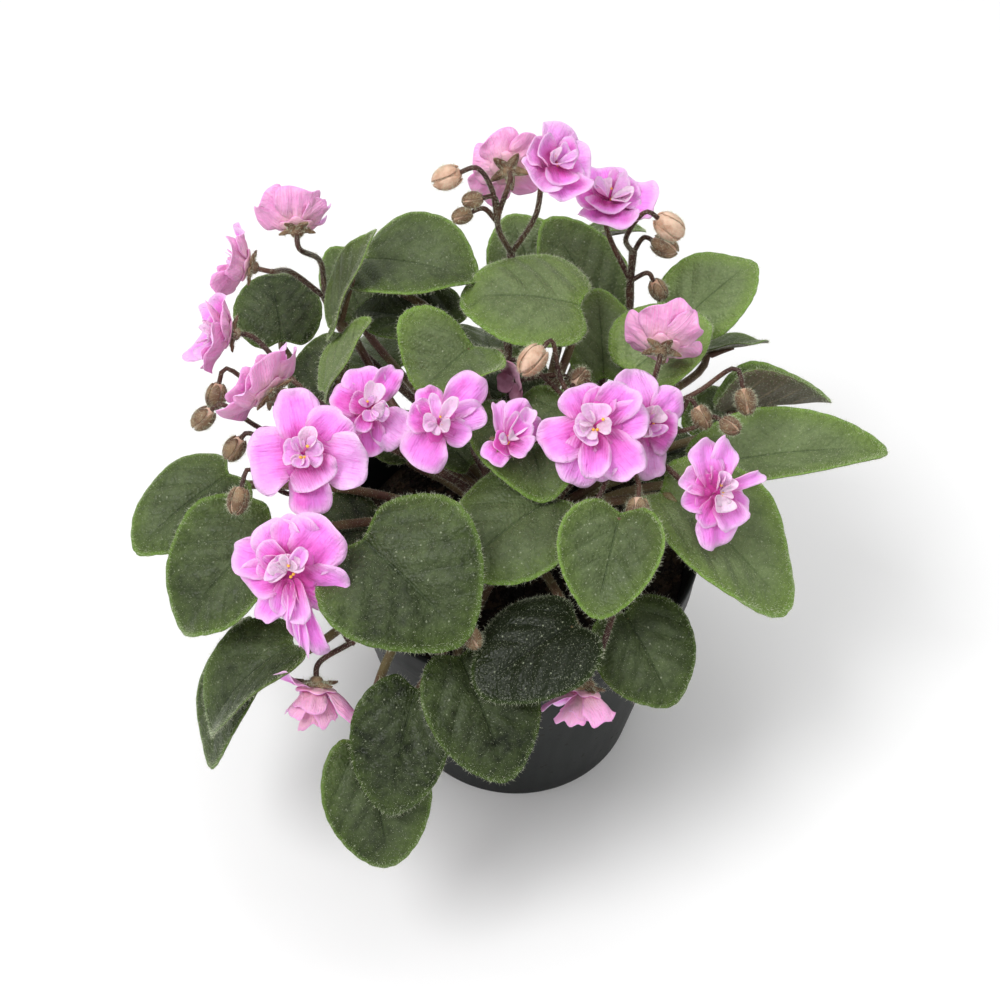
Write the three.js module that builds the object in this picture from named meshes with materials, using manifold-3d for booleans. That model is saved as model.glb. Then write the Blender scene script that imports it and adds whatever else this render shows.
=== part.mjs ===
// A potted african violet: a rosette of round hairy leaves and semi-double flowers in a nursery pot.
// Millimetres, +Z up. The origin is the centre of the pot's underside, and the plant's front is -Y.
import * as THREE from "three";
import { mergeVertices } from "three/addons/utils/BufferGeometryUtils.js";
import Module from "manifold-3d";

const wasm = await Module();
wasm.setup();

// Driving dimensions
const GAP = 0.3; // clearance between pieces that touch
const POT = {
  height: 90,
  rimRadius: 54,
  lipHeight: 12,
  lipStep: 2.5,
  baseRadius: 38.5,
  wall: 1.6,
  floor: 2.4,
};
const DRAIN = { count: 6, radius: 4, circleRadius: 27 };
const SOIL = { top: 78, mound: 1.5, holeRadius: 9 };
const CROWN = { radius: 8, foot: 60, top: 96 };
const BLADE = 0.8; // thickness of a leaf
const PETAL = 0.7; // thickness of a petal
const SEPAL = 0.6; // thickness of a sepal
const LEAF_STALK_RADIUS = 1.3;
const FLOWER_STALK_RADIUS = 1.2;
const BLOOM_STALK_RADIUS = 0.8;
const KNOB_RADIUS = 2.6;
const CALYX_RADIUS = 5;
const STALK_END = { run: 2.5, climb: 4 }; // how far past the notch, and how far it climbs to the blade
const LOW_LEAF = 80; // leaves down here have their stalks lowest on the crown,
const HIGH_LEAF = 130; // and leaves from here up have them highest

// The rings of petals, from the outside in: share of the radius, lift off the ring behind, how much
// steeper they stand, and the turn that sets their lobes between the others
const LOBE_DEEP = 0.58;
const BLOOM_RINGS = [
  { share: 1, lift: 0, steeper: 0, sectors: 20, rings: 2, turn: 0 },
  { share: 0.62, lift: 0.4, steeper: 4, sectors: 10, rings: 1, turn: Math.PI / 5 },
];

// Heart-shaped leaf outline, in half lengths and half widths from the middle of the blade
const LEAF_SECTORS = 16;
const LEAF_RINGS = 2;
const TIP_POINT = 0.12;
const NOTCH_DEPTH = 0.24;
const NOTCH_ANGLE = 0.28;
const HEEL = 1 - NOTCH_DEPTH;
const WIDE_END = 0.13;

// Each leaf runs from its base, where its stalk meets the notch, to its tip. Roll turns it about that
// line, arch lifts its middle, and cup lifts its two long edges.
const LEAVES = [
  { name: "leaf_left", base: [-83, 5, 108], tip: [-109, -16, 98], width: 31, roll: 0, arch: 3, cup: -2 },
  { name: "leaf_left_front", base: [-68, -18, 112], tip: [-94, -39, 92],
    width: 38, roll: 0, arch: 4, cup: 2 },
  { name: "leaf_low_left", base: [-62, -45, 95], tip: [-86, -62, 76],
    width: 30, roll: 20, arch: 4, cup: 2 },
  { name: "leaf_low_left_under", base: [-75, -31, 80], tip: [-89, -59, 52],
    width: 26, roll: 30, arch: 3, cup: 0, bend: [-48, -22, 97] },
  { name: "leaf_low_front_under", base: [-42, -65, 76], tip: [-36, -88, 48],
    width: 30, roll: 0, arch: 3, cup: 1, bend: [-33, -44, 96] },
  { name: "leaf_low_front", base: [-28, -57, 91], tip: [-36, -81, 65],
    width: 28, roll: 0, arch: 3, cup: 2, bend: [-21, -48, 95] },
  { name: "leaf_low_middle", base: [-16, -51, 98], tip: [-3, -77, 76],
    width: 32, roll: 0, arch: 2, cup: 1 },
  { name: "leaf_glossy", base: [17, -47, 106], tip: [-12, -64, 99],
    width: 34, roll: 0, arch: 3, cup: -3, bend: [7, -24, 100] },
  { name: "leaf_low_right", base: [26, -36, 97], tip: [40, -56, 82], width: 32, roll: 0, arch: 2, cup: -1 },
  { name: "leaf_pale_front", base: [26, -28, 124], tip: [20, -49, 112],
    width: 27, roll: 0, arch: 2, cup: 3, bend: [25, -14, 110] },
  { name: "leaf_right_front", base: [40, -9, 118], tip: [75, -34, 94],
    width: 36, roll: 0, arch: 4, cup: 2 },
  { name: "leaf_right_long", base: [53, 8, 108], tip: [107, 12, 111], width: 27, roll: 0, arch: 3, cup: 3 },
  { name: "leaf_right_folded", base: [61, 31, 108], tip: [93, 31, 112],
    width: 28, roll: -40, arch: 1, cup: 8 },
  { name: "leaf_right_back_tip", base: [57, 60, 103], tip: [79, 63, 104],
    width: 20, roll: -35, arch: 1, cup: 1 },
  { name: "leaf_back_right_round", base: [48, 57, 116], tip: [72, 73, 126],
    width: 31, roll: 0, arch: 2, cup: 1 },
  { name: "leaf_pale_back_right", base: [33, 34, 120], tip: [56, 46, 130],
    width: 32, roll: 0, arch: 2, cup: 1 },
  { name: "leaf_back_right_upright", base: [26, 40, 112], tip: [24, 64, 126],
    width: 22, roll: 0, arch: 2, cup: 1, bend: [20, 22, 102] },
  { name: "leaf_top_round", base: [17, 41, 137], tip: [-17, 45, 136],
    width: 40, roll: 0, arch: 3, cup: -3 },
  { name: "leaf_back_middle", base: [26, 64, 114], tip: [9, 87, 134], width: 30, roll: 0, arch: 2, cup: 1 },
  { name: "leaf_back_far_right", base: [19, 93, 117], tip: [41, 95, 123],
    width: 22, roll: -30, arch: 2, cup: 1 },
  { name: "leaf_top_back_left", base: [-46, 67, 135], tip: [-12, 53, 139],
    width: 38, roll: 0, arch: 3, cup: 1, bend: [-20, 43, 129] },
  { name: "leaf_edge_on_left", base: [-55, 46, 127], tip: [-41, 57, 155],
    width: 22, roll: -30, arch: 1, cup: 1, bend: [-34, 22, 114] },
  { name: "leaf_back_left_far", base: [-72, 55, 112], tip: [-77, 80, 118],
    width: 27, roll: 0, arch: 2, cup: 1, bend: [-40, 26, 101] },
  { name: "leaf_back_left_under", base: [-19, 49, 124], tip: [-50, 58, 122],
    width: 27, roll: 0, arch: 2, cup: 1, bend: [-12, 26, 109] },
  { name: "leaf_curled_top", base: [-16, 35, 134], tip: [-30, 19, 128],
    width: 33, roll: 0, arch: 1, cup: 4 },
  { name: "leaf_bright_edge", base: [-56, 26, 120], tip: [-42, 36, 140],
    width: 22, roll: -30, arch: 1, cup: 1, bend: [-30, 14, 112] },
  { name: "leaf_dark_left", base: [-60, 32, 107], tip: [-54, 50, 121],
    width: 22, roll: -20, arch: 2, cup: 1, bend: [-34, 20, 102] },
  { name: "leaf_middle_front", base: [12, -10, 116], tip: [-18, -33, 110],
    width: 40, roll: 0, arch: 3, cup: -2 },
  { name: "leaf_middle", base: [-1, 19, 124], tip: [8, -14, 118], width: 34, roll: 0, arch: 2, cup: 1 },
  { name: "leaf_heart", base: [-41, -35, 126], tip: [-13, -55, 112],
    width: 42, roll: 0, arch: 3, cup: 2, bend: [-27, -14, 114] },
  { name: "leaf_back_dark", base: [6, 74, 116], tip: [-2, 94, 130],
    width: 28, roll: 0, arch: 2, cup: 1, bend: [8, 44, 102] },
  { name: "leaf_back_left_high", base: [-48, 66, 112], tip: [-58, 88, 122],
    width: 20, roll: 0, arch: 2, cup: 1, bend: [-26, 40, 97] },
  { name: "leaf_rear_left", base: [-38, 58, 98], tip: [-55, 84, 84], width: 34, roll: 0, arch: 4, cup: 1 },
  { name: "leaf_rear_middle", base: [-8, 62, 98], tip: [-12, 92, 82], width: 36, roll: 0, arch: 4, cup: 1 },
  { name: "leaf_rear_right", base: [26, 58, 98], tip: [42, 86, 82],
    width: 34, roll: 0, arch: 4, cup: 1, bend: [22, 48, 95] },
  { name: "leaf_rear_side", base: [56, 30, 95], tip: [84, 44, 80], width: 34, roll: 0, arch: 4, cup: 1 },
];

// Each bloom is placed by the back of its throat and the way it faces. Cup is how far forward the
// petals reach at the rim, and spin turns the petals. Its own thin stalk leaves the bunch at the first
// point of stem and ends behind the flower.
const BLOOMS = [
  { name: "bloom_top_left", at: [-3, 64, 171], face: [-1, 9, -2], radius: 12, cup: 4, spin: 10,
    bunch: "stalks_back", stem: [[-2, 65, 139], [-6, 59, 156]] },
  { name: "bloom_top_middle", at: [9, 56, 178], face: [4, -4, 9], radius: 11, cup: 4, spin: 40,
    bunch: "stalks_back", stem: [[-2, 65, 139], [5, 60, 158]] },
  { name: "bloom_top_right", at: [26, 65, 158], face: [1, -1, 10], radius: 12.5, cup: 4, spin: 0,
    bunch: "stalks_back", stem: [[34, 63, 130], [27, 67, 144]] },
  { name: "bloom_left_high", at: [-63, 54, 158], face: [-1, 8, 3], radius: 11, cup: 6, spin: 20,
    bunch: "stalks_left", stem: [[-58, 59, 127], [-58, 58, 142]] },
  { name: "bloom_left_upper", at: [-77, 48, 149], face: [-9, 1, 2], radius: 11, cup: 6, spin: 50,
    bunch: "stalks_left", stem: [[-58, 59, 127], [-67, 56, 140]] },
  { name: "bloom_left_lower", at: [-81, 28, 142], face: [-9, -1, 3], radius: 11, cup: 5, spin: 5,
    bunch: "stalks_left", stem: [[-44, 4, 127], [-62, 18, 131]] },
  { name: "bloom_left_inner", at: [-67, 4, 143], face: [-6, 6, 3], radius: 13, cup: 4, spin: 30,
    bunch: "stalks_left", stem: [[-44, 4, 127], [-54, 0, 133]] },
  { name: "bloom_left_large", at: [-57, -14, 138], face: [-1, -6, 8], radius: 17, cup: 2, spin: 12,
    bunch: "stalks_left", stem: [[-44, 4, 127]] },
  { name: "bloom_middle_left", at: [-41, 1, 139], face: [2, -5, 8], radius: 12.5, cup: 3, spin: 60,
    bunch: "stalks_left", stem: [[-44, 4, 127]] },
  { name: "bloom_middle", at: [-22, -4, 139], face: [1, -6, 7], radius: 12.5, cup: 3, spin: 35,
    bunch: "stalks_left", stem: [[-44, 4, 127], [-28, 4, 128]] },
  { name: "bloom_half_open", at: [-4, -4, 131], face: [3, -3, 8], radius: 9, cup: 8, spin: 15,
    bunch: "stalks_right", stem: [[23, 4, 126], [6, 2, 126]] },
  { name: "bloom_right_large", at: [20, -6, 140], face: [0, -6, 8], radius: 17, cup: 2, spin: 0,
    bunch: "stalks_right", stem: [[23, 4, 126]] },
  { name: "bloom_right_behind", at: [35, 3, 131], face: [3, -5, 8], radius: 14, cup: 2, spin: 25,
    bunch: "stalks_right", stem: [[23, 4, 126], [30, 8, 125]] },
  { name: "bloom_right_front", at: [52, -19, 128], face: [4, -6, 7], radius: 15, cup: 3, spin: 45,
    bunch: "stalks_right", stem: [[23, 4, 126], [36, 2, 121], [46, -10, 121]] },
  { name: "bloom_right_back_view", at: [40, 24, 140], face: [2, 9, 1], radius: 12, cup: 6, spin: 10,
    bunch: "stalks_right", stem: [[23, 4, 126], [35, 14, 128]] },
  { name: "bloom_front_left", at: [-60, -40, 121], face: [-1, -7, 6], radius: 16, cup: 3, spin: 50,
    bunch: "stalks_left", stem: [[-46, -47, 98], [-56, -34, 108]] },
  { name: "bloom_hanging_left", at: [-56, -53, 86], face: [-1, -7, -7], radius: 13, cup: 6, spin: 0,
    bunch: "stalks_left", stem: [[-46, -47, 98]] },
  { name: "bloom_hanging_front", at: [16, -58, 94], face: [-2, -6, -7], radius: 9, cup: 6, spin: 20,
    bunch: "stalks_right", stem: [[25, -42, 102], [22, -50, 99]] },
];

// The thick flower stalks, from the crown to where the thin ones leave
const FLOWER_STALKS = [
  { bunch: "stalks_back", points: [[1, 4, 88], [-1, 12, 104], [-3, 50, 126], [-2, 65, 139]] },
  { bunch: "stalks_back", points: [[1, 4, 88], [7, 14, 104], [33, 56, 110], [34, 63, 130], [34, 63, 141]] },
  { bunch: "stalks_left",
    points: [[-4, 0, 88], [-11, 13, 104], [-40, 44, 109], [-54, 57, 116], [-58, 59, 127]] },
  { bunch: "stalks_left", points: [[-4, 0, 88], [-14, 2, 104], [-44, 4, 127]] },
  { bunch: "stalks_left", points: [[-4, 0, 88], [-10, -12, 101], [-34, -34, 104], [-46, -47, 98]] },
  { bunch: "stalks_right", points: [[4, -2, 88], [13, 2, 104], [23, 4, 126]] },
  { bunch: "stalks_right", points: [[4, -2, 88], [10, -9, 103], [18, -26, 103], [25, -42, 102]] },
];

// The knobs at the ends that carry most of the thin stalks
const KNOBS = [
  { bunch: "stalks_left", at: [-44, 4, 127] },
  { bunch: "stalks_right", at: [23, 4, 126] },
];

// Closed buds, on hooked thin stalks
const BUDS = [
  { bunch: "stalks_back",
    stem: [[-6, 59, 156], [-8, 58, 170], [-12, 57, 177], [-17, 57, 175]], radius: 3.2 },
  { bunch: "stalks_back", stem: [[-6, 59, 156], [-7, 58, 166], [-11, 56, 167]], radius: 2.2 },
  { bunch: "stalks_back", stem: [[-6, 59, 156], [-10, 59, 161], [-14, 57, 161]], radius: 2.2 },
  { bunch: "stalks_back", stem: [[34, 63, 141], [31, 57, 152], [36, 54, 164], [40, 54, 161]], radius: 3.6 },
  { bunch: "stalks_back", stem: [[34, 63, 141], [37, 63, 147], [40, 61, 147]], radius: 3.2 },
  { bunch: "stalks_back", stem: [[34, 63, 130], [39, 62, 134], [41, 61, 131]], radius: 2.6 },
  { bunch: "stalks_left", stem: [[-44, 4, 127], [-70, 6, 125], [-83, 9, 133], [-86, 8, 131]], radius: 2.8 },
  { bunch: "stalks_left",
    stem: [[-44, 4, 127], [-68, 14, 127], [-82, 18, 138], [-84, 15, 134]], radius: 2.8 },
  { bunch: "stalks_left",
    stem: [[-44, 4, 127], [-68, -1, 129], [-75, 0, 131], [-77, -1, 129]], radius: 2.8 },
  { bunch: "stalks_left",
    stem: [[-44, 4, 127], [-62, -16, 124], [-73, -13, 131], [-75, -18, 128]], radius: 2.8 },
  { bunch: "stalks_left",
    stem: [[-10, -12, 101], [-18, -36, 106], [-16, -46, 109], [-14, -49, 107]], radius: 2.4 },
  { bunch: "stalks_right", stem: [[23, 4, 126], [12, 18, 133], [9, 24, 143], [6, 21, 142]], radius: 3.6 },
  { bunch: "stalks_right", stem: [[23, 4, 126], [15, 20, 128], [16, 22, 128]], radius: 2.6 },
  { bunch: "stalks_right", stem: [[23, 4, 126], [2, 28, 130], [-4, 30, 130]], radius: 2.2 },
  { bunch: "stalks_right", stem: [[23, 4, 126], [21, 20, 129], [10, 28, 126], [4, 29, 124]], radius: 3.4 },
  { bunch: "stalks_right", stem: [[23, 4, 126], [44, 10, 126], [48, 13, 131], [50, 11, 129]], radius: 2.6 },
  { bunch: "stalks_right", stem: [[23, 4, 126], [50, 18, 128], [61, 20, 136], [63, 15, 132]], radius: 2.8 },
  { bunch: "stalks_right", stem: [[23, 4, 126], [48, 7, 125], [54, 9, 128], [57, 6, 129]], radius: 2.4 },
  { bunch: "stalks_right", stem: [[23, 4, 126], [23, -15, 127], [20, -20, 124]], radius: 2.8 },
  { bunch: "stalks_right", stem: [[23, 4, 126], [32, -15, 128], [32, -19, 125]], radius: 3.2 },
];

const up = new THREE.Vector3(0, 0, 1);
const vector = (list) => new THREE.Vector3(...list);

// A closed mesh as a solid for joining and cutting
function solidOf(geometry) {
  const bare = geometry.index ? geometry.toNonIndexed() : geometry.clone();
  bare.deleteAttribute("normal");
  bare.deleteAttribute("uv");
  const merged = mergeVertices(bare, 1e-4);
  const mesh = new wasm.Mesh({
    numProp: 3,
    vertProperties: new Float32Array(merged.attributes.position.array),
    triVerts: new Uint32Array(merged.index.array),
  });
  return new wasm.Manifold(mesh);
}

function geometryOf(solid) {
  const mesh = solid.getMesh();
  const geometry = new THREE.BufferGeometry();
  geometry.setAttribute("position", new THREE.BufferAttribute(new Float32Array(mesh.vertProperties), 3));
  geometry.setIndex(new THREE.BufferAttribute(new Uint32Array(mesh.triVerts), 1));
  return geometry;
}

const join = (solids) => solids.reduce((sum, next) => sum.add(next));

// A profile of [radius, height] points turned about the Z axis
function turned(profile, segments) {
  const points = profile.map(([radius, height]) => new THREE.Vector2(radius, height));
  return new THREE.LatheGeometry(points, segments).rotateX(Math.PI / 2);
}

// A round stalk of a few flat sides along a curve
function stalk(curve, radius, sides, steps) {
  const corners = [];
  for (let side = 0; side < sides; side += 1) {
    const angle = (2 * Math.PI * side) / sides;
    corners.push(new THREE.Vector2(radius * Math.cos(angle), radius * Math.sin(angle)));
  }
  const options = { steps, extrudePath: curve, bevelEnabled: false };
  return new THREE.ExtrudeGeometry(new THREE.Shape(corners), options);
}

// The direction square to a sheet, from two short steps along it
function sheetNormal(place, reach, angle) {
  const step = 0.01;
  if (reach === 0) {
    const ahead = place(step, 0).sub(place(step, Math.PI));
    const aside = place(step, Math.PI / 2).sub(place(step, -Math.PI / 2));
    return ahead.cross(aside).normalize();
  }
  const outward = place(reach, angle).sub(place(reach - step, angle));
  const around = place(reach, angle + step).sub(place(reach, angle - step));
  return outward.cross(around).normalize();
}

// A thin closed sheet of rings round a middle point. The function place gives the sheet's point for a
// reach of 0 at the middle to 1 at the edge, and an angle. Both faces are split alike.
function sheet(sectors, rings, thickness, place) {
  const positions = [];
  const triangles = [];
  const perFace = 1 + sectors * rings;
  for (const side of [0.5, -0.5]) {
    const addPoint = (reach, angle) => {
      const point = place(reach, angle).addScaledVector(sheetNormal(place, reach, angle), side * thickness);
      positions.push(point.x, point.y, point.z);
    };
    addPoint(0, 0);
    for (let ring = 1; ring <= rings; ring += 1) {
      for (let sector = 0; sector < sectors; sector += 1) {
        addPoint(ring / rings, (2 * Math.PI * sector) / sectors);
      }
    }
  }
  const corner = (ring, sector) => 1 + (ring - 1) * sectors + (sector % sectors);
  const addFace = (a, b, c) => {
    triangles.push(a, b, c);
    triangles.push(a + perFace, c + perFace, b + perFace);
  };
  for (let sector = 0; sector < sectors; sector += 1) {
    addFace(0, corner(1, sector), corner(1, sector + 1));
    for (let ring = 1; ring < rings; ring += 1) {
      const inner = corner(ring, sector);
      const outerNext = corner(ring + 1, sector + 1);
      addFace(inner, corner(ring + 1, sector), outerNext);
      addFace(inner, outerNext, corner(ring, sector + 1));
    }
    const edge = corner(rings, sector);
    const edgeNext = corner(rings, sector + 1);
    triangles.push(edge + perFace, edgeNext + perFace, edgeNext);
    triangles.push(edge + perFace, edgeNext, edge);
  }
  const geometry = new THREE.BufferGeometry();
  geometry.setAttribute("position", new THREE.Float32BufferAttribute(positions, 3));
  geometry.setIndex(triangles);
  return geometry;
}

// Axes for a leaf: X from base to tip, Z out of the upper face
function leafFrame(leaf) {
  const origin = vector(leaf.base);
  const along = vector(leaf.tip).sub(origin).normalize();
  const side = up.clone().cross(along).normalize();
  side.applyAxisAngle(along, THREE.MathUtils.degToRad(leaf.roll));
  const normal = along.clone().cross(side);
  return new THREE.Matrix4().makeBasis(along, side, normal).setPosition(origin);
}

function leafPoint(leaf, length, reach, angle) {
  const fromNotch = Math.abs(Math.PI - angle) / NOTCH_ANGLE;
  const notch = NOTCH_DEPTH * Math.exp(-fromNotch * fromNotch);
  const point = TIP_POINT * Math.max(0, Math.cos(angle)) ** 8;
  const x = (Math.cos(angle) + point + notch) * reach;
  const y = Math.sin(angle) * (1 - WIDE_END * Math.cos(angle)) * reach;
  const along = (x + HEEL) / (HEEL + 1 + TIP_POINT);
  const height = 4 * leaf.arch * along * (1 - along) + leaf.cup * y * y;
  return new THREE.Vector3(along * length, (y * leaf.width) / 2, height);
}

function leafBlade(leaf) {
  const length = vector(leaf.base).distanceTo(vector(leaf.tip));
  const place = (reach, angle) => leafPoint(leaf, length, reach, angle);
  return sheet(LEAF_SECTORS, LEAF_RINGS, BLADE, place).applyMatrix4(leafFrame(leaf));
}

// A leaf's stalk rises out of the crown's side, arches over the rim where it has to, and comes up from
// below to end just under the blade, past the notch. Bend gives the arch a point of its own.
function leafStalk(leaf) {
  const frame = leafFrame(leaf);
  const length = vector(leaf.base).distanceTo(vector(leaf.tip));
  const lift = (4 * leaf.arch * STALK_END.run) / length;
  const under = lift - BLADE / 2 - GAP - 0.75 * LEAF_STALK_RADIUS;
  const end = new THREE.Vector3(STALK_END.run, 0, under).applyMatrix4(frame);
  const below = new THREE.Vector3(STALK_END.run / 4, 0, under - STALK_END.climb).applyMatrix4(frame);
  const heading = Math.atan2(end.y, end.x);
  const rise = THREE.MathUtils.clamp((leaf.base[2] - LOW_LEAF) / (HIGH_LEAF - LOW_LEAF), 0, 1);
  const start = new THREE.Vector3(Math.cos(heading), Math.sin(heading), 0).multiplyScalar(CROWN.radius / 2);
  start.z = CROWN.top - 12 + 8 * rise;
  const bend = leaf.bend ? vector(leaf.bend) : start.clone().lerp(below, 0.55);
  if (!leaf.bend) bend.z += 0.08 * start.distanceTo(below);
  const overRim = POT.height + LEAF_STALK_RADIUS + 2.5;
  if (Math.hypot(end.x, end.y) > POT.rimRadius - 6) bend.z = Math.max(bend.z, overRim);
  return stalk(new THREE.CatmullRomCurve3([start, bend, below, end]), LEAF_STALK_RADIUS, 4, 4);
}

function crownDome() {
  const { radius, foot, top } = CROWN;
  const profile = [
    [0, foot],
    [radius * 0.7, foot],
    [radius, SOIL.top - 4],
    [radius, SOIL.top + 6],
    [radius * 0.75, top - 4],
    [0, top],
  ];
  return turned(profile, 12);
}

// Axes for a bloom: Z the way it faces
function bloomFrame(bloom) {
  const facing = vector(bloom.face).normalize();
  const side = up.clone().cross(facing).normalize();
  side.applyAxisAngle(facing, THREE.MathUtils.degToRad(bloom.spin));
  const over = facing.clone().cross(side);
  return new THREE.Matrix4().makeBasis(side, over, facing).setPosition(vector(bloom.at));
}

// One ring of five joined lobes, with the two upper lobes smaller
function lobes(bloom, ring) {
  const place = (reach, angle) => {
    const lobe = LOBE_DEEP + (1 - LOBE_DEEP) * Math.abs(Math.cos(2.5 * (angle + ring.turn))) ** 0.4;
    const edge = bloom.radius * ring.share * (1 - 0.1 * Math.sin(angle)) * (1 + (lobe - 1) * reach);
    const height = ring.lift + (bloom.cup + ring.steeper) * reach * reach;
    return new THREE.Vector3(reach * edge * Math.cos(angle), reach * edge * Math.sin(angle), height);
  };
  return sheet(ring.sectors, ring.rings, PETAL, place).applyMatrix4(bloomFrame(bloom));
}

// The star of five sepals sits just behind the petals and follows their curve
function calyx(bloom) {
  const behind = PETAL / 2 + GAP + SEPAL / 2;
  const place = (reach, angle) => {
    const point = 0.35 + 0.65 * Math.abs(Math.cos(2.5 * angle)) ** 3;
    const edge = CALYX_RADIUS * reach * (1 + (point - 1) * reach);
    const slope = (2 * bloom.cup * edge) / bloom.radius ** 2;
    const height = bloom.cup * (edge / bloom.radius) ** 2 - behind * Math.hypot(1, slope);
    return new THREE.Vector3(edge * Math.cos(angle), edge * Math.sin(angle), height);
  };
  return sheet(10, 1, SEPAL, place).applyMatrix4(bloomFrame(bloom));
}

function bloomStalk(bloom) {
  const frame = bloomFrame(bloom);
  const behind = PETAL / 2 + GAP + SEPAL / 2;
  const points = bloom.stem.map(vector);
  for (const distance of [6, behind]) points.push(new THREE.Vector3(0, 0, -distance).applyMatrix4(frame));
  return stalk(new THREE.CatmullRomCurve3(points), BLOOM_STALK_RADIUS, 3, points.length);
}

function bloomSolid(bloom) {
  return join(BLOOM_RINGS.map((ring) => solidOf(lobes(bloom, ring))));
}

function budSolid(bud) {
  const points = bud.stem.map(vector);
  const curve = new THREE.CatmullRomCurve3(points);
  const thread = stalk(curve, BLOOM_STALK_RADIUS, 3, points.length);
  const { radius } = bud;
  const profile = [
    [0, -radius * 0.4],
    [radius * 0.8, radius * 0.1],
    [radius, radius],
    [radius * 0.6, radius * 2],
    [0, radius * 2.5],
  ];
  const turn = new THREE.Quaternion().setFromUnitVectors(up, curve.getTangent(1));
  const body = turned(profile, 5).applyQuaternion(turn).translate(...bud.stem[bud.stem.length - 1]);
  return solidOf(thread).add(solidOf(body));
}

function mainStalk(entry, radius) {
  const curve = new THREE.CatmullRomCurve3(entry.points.map(vector));
  return solidOf(stalk(curve, radius, 5, 2 * (entry.points.length - 1)));
}

function bunchSolid(bunch) {
  const ofBunch = (entries) => entries.filter((entry) => entry.bunch === bunch);
  const blooms = ofBunch(BLOOMS);
  const buds = ofBunch(BUDS);
  const solids = ofBunch(FLOWER_STALKS).map((entry) => mainStalk(entry, FLOWER_STALK_RADIUS));
  for (const { at } of ofBunch(KNOBS)) {
    solids.push(solidOf(new THREE.IcosahedronGeometry(KNOB_RADIUS, 0).translate(...at)));
  }
  for (const bloom of blooms) solids.push(solidOf(bloomStalk(bloom)), solidOf(calyx(bloom)));
  for (const bud of buds) solids.push(budSolid(bud));
  return join(solids);
}

// The crown and the leaf stalks, with a plain hole round each flower stalk
function crown() {
  const whole = join([solidOf(crownDome()), ...LEAVES.map((leaf) => solidOf(leafStalk(leaf)))]);
  const sockets = FLOWER_STALKS.map((entry) => mainStalk(entry, FLOWER_STALK_RADIUS + GAP));
  return whole.subtract(join(sockets));
}

function pot() {
  const { height, rimRadius, lipHeight, lipStep, baseRadius, wall, floor } = POT;
  const wallTop = rimRadius - lipStep;
  const lipBottom = height - lipHeight;
  const profile = [
    [0, 0],
    [baseRadius - 1, 0],
    [baseRadius, 1.5],
    [wallTop, lipBottom],
    [rimRadius - 0.8, lipBottom],
    [rimRadius, height - 1.5],
    [rimRadius - 0.5, height],
    [rimRadius - wall, height],
    [wallTop - wall, lipBottom],
    [baseRadius - wall, floor],
    [0, floor],
  ];
  const cup = solidOf(turned(profile, 24));
  const holes = [];
  for (let index = 0; index < DRAIN.count; index += 1) {
    const angle = (2 * Math.PI * index) / DRAIN.count;
    const hole = new THREE.CylinderGeometry(DRAIN.radius, DRAIN.radius, 4 * floor, 8);
    hole.rotateX(Math.PI / 2);
    hole.translate(DRAIN.circleRadius * Math.cos(angle), DRAIN.circleRadius * Math.sin(angle), floor);
    holes.push(solidOf(hole));
  }
  return geometryOf(cup.subtract(join(holes)));
}

function soil() {
  const inner = POT.rimRadius - POT.lipStep - POT.wall - GAP;
  const bottom = POT.baseRadius - POT.wall - GAP;
  const hole = SOIL.holeRadius + GAP;
  const profile = [
    [0, POT.floor + GAP],
    [bottom, POT.floor + GAP],
    [inner, SOIL.top],
    [inner * 0.6, SOIL.top + SOIL.mound],
    [hole, SOIL.top + SOIL.mound],
    [hole, CROWN.foot - GAP],
    [0, CROWN.foot - GAP],
  ];
  return turned(profile, 24);
}

const plant = new THREE.Group();

function material(color, roughness) {
  return new THREE.MeshStandardMaterial({ color, roughness, metalness: 0 });
}

function addPiece(name, geometry, surface) {
  const piece = new THREE.Mesh(geometry, surface);
  piece.name = name;
  plant.add(piece);
}

addPiece("pot", pot(), material("#2f3133", 0.55));
addPiece("soil", soil(), material("#241a13", 1));
addPiece("crown", geometryOf(crown()), material("#4a3028", 0.7));
for (const bunch of ["stalks_back", "stalks_left", "stalks_right"]) {
  addPiece(bunch, geometryOf(bunchSolid(bunch)), material("#5a3a2e", 0.7));
}
for (const leaf of LEAVES) addPiece(leaf.name, leafBlade(leaf), material("#47592f", 0.6));
for (const bloom of BLOOMS) addPiece(bloom.name, geometryOf(bloomSolid(bloom)), material("#ee9ae6", 0.6));

export default plant;
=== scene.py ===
"""The looks of a potted african violet, built round its CAD frame: hairy leaves, semi-double flowers,
hairy stalks and buds, potting mix and a moulded nursery pot. Sizes in the lists are millimetres."""

import math
from collections import namedtuple

import bpy
import numpy as np
from mathutils import Euler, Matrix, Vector


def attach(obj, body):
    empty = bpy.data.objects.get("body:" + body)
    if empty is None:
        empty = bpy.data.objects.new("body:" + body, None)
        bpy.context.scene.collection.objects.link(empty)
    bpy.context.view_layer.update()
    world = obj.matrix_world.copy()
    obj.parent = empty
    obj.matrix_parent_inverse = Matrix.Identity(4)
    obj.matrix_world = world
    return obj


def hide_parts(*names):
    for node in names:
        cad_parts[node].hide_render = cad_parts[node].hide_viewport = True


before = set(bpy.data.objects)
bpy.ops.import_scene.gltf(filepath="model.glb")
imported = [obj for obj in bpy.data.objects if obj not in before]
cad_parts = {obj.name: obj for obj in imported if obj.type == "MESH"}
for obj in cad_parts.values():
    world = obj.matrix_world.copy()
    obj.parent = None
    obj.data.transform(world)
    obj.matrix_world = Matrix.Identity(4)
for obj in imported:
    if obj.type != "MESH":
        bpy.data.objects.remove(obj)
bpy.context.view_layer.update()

bl_info = {
    "name": "Potted african violet",
    "version": (1, 0, 0),
    "blender": (4, 5, 0),
    "location": "3D View > Sidebar > Violet",
    "description": "Builds the leaves, flowers, stalks, hairs, soil and pot of a potted african violet",
    "category": "Add Mesh",
}

MM = 0.001

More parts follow.
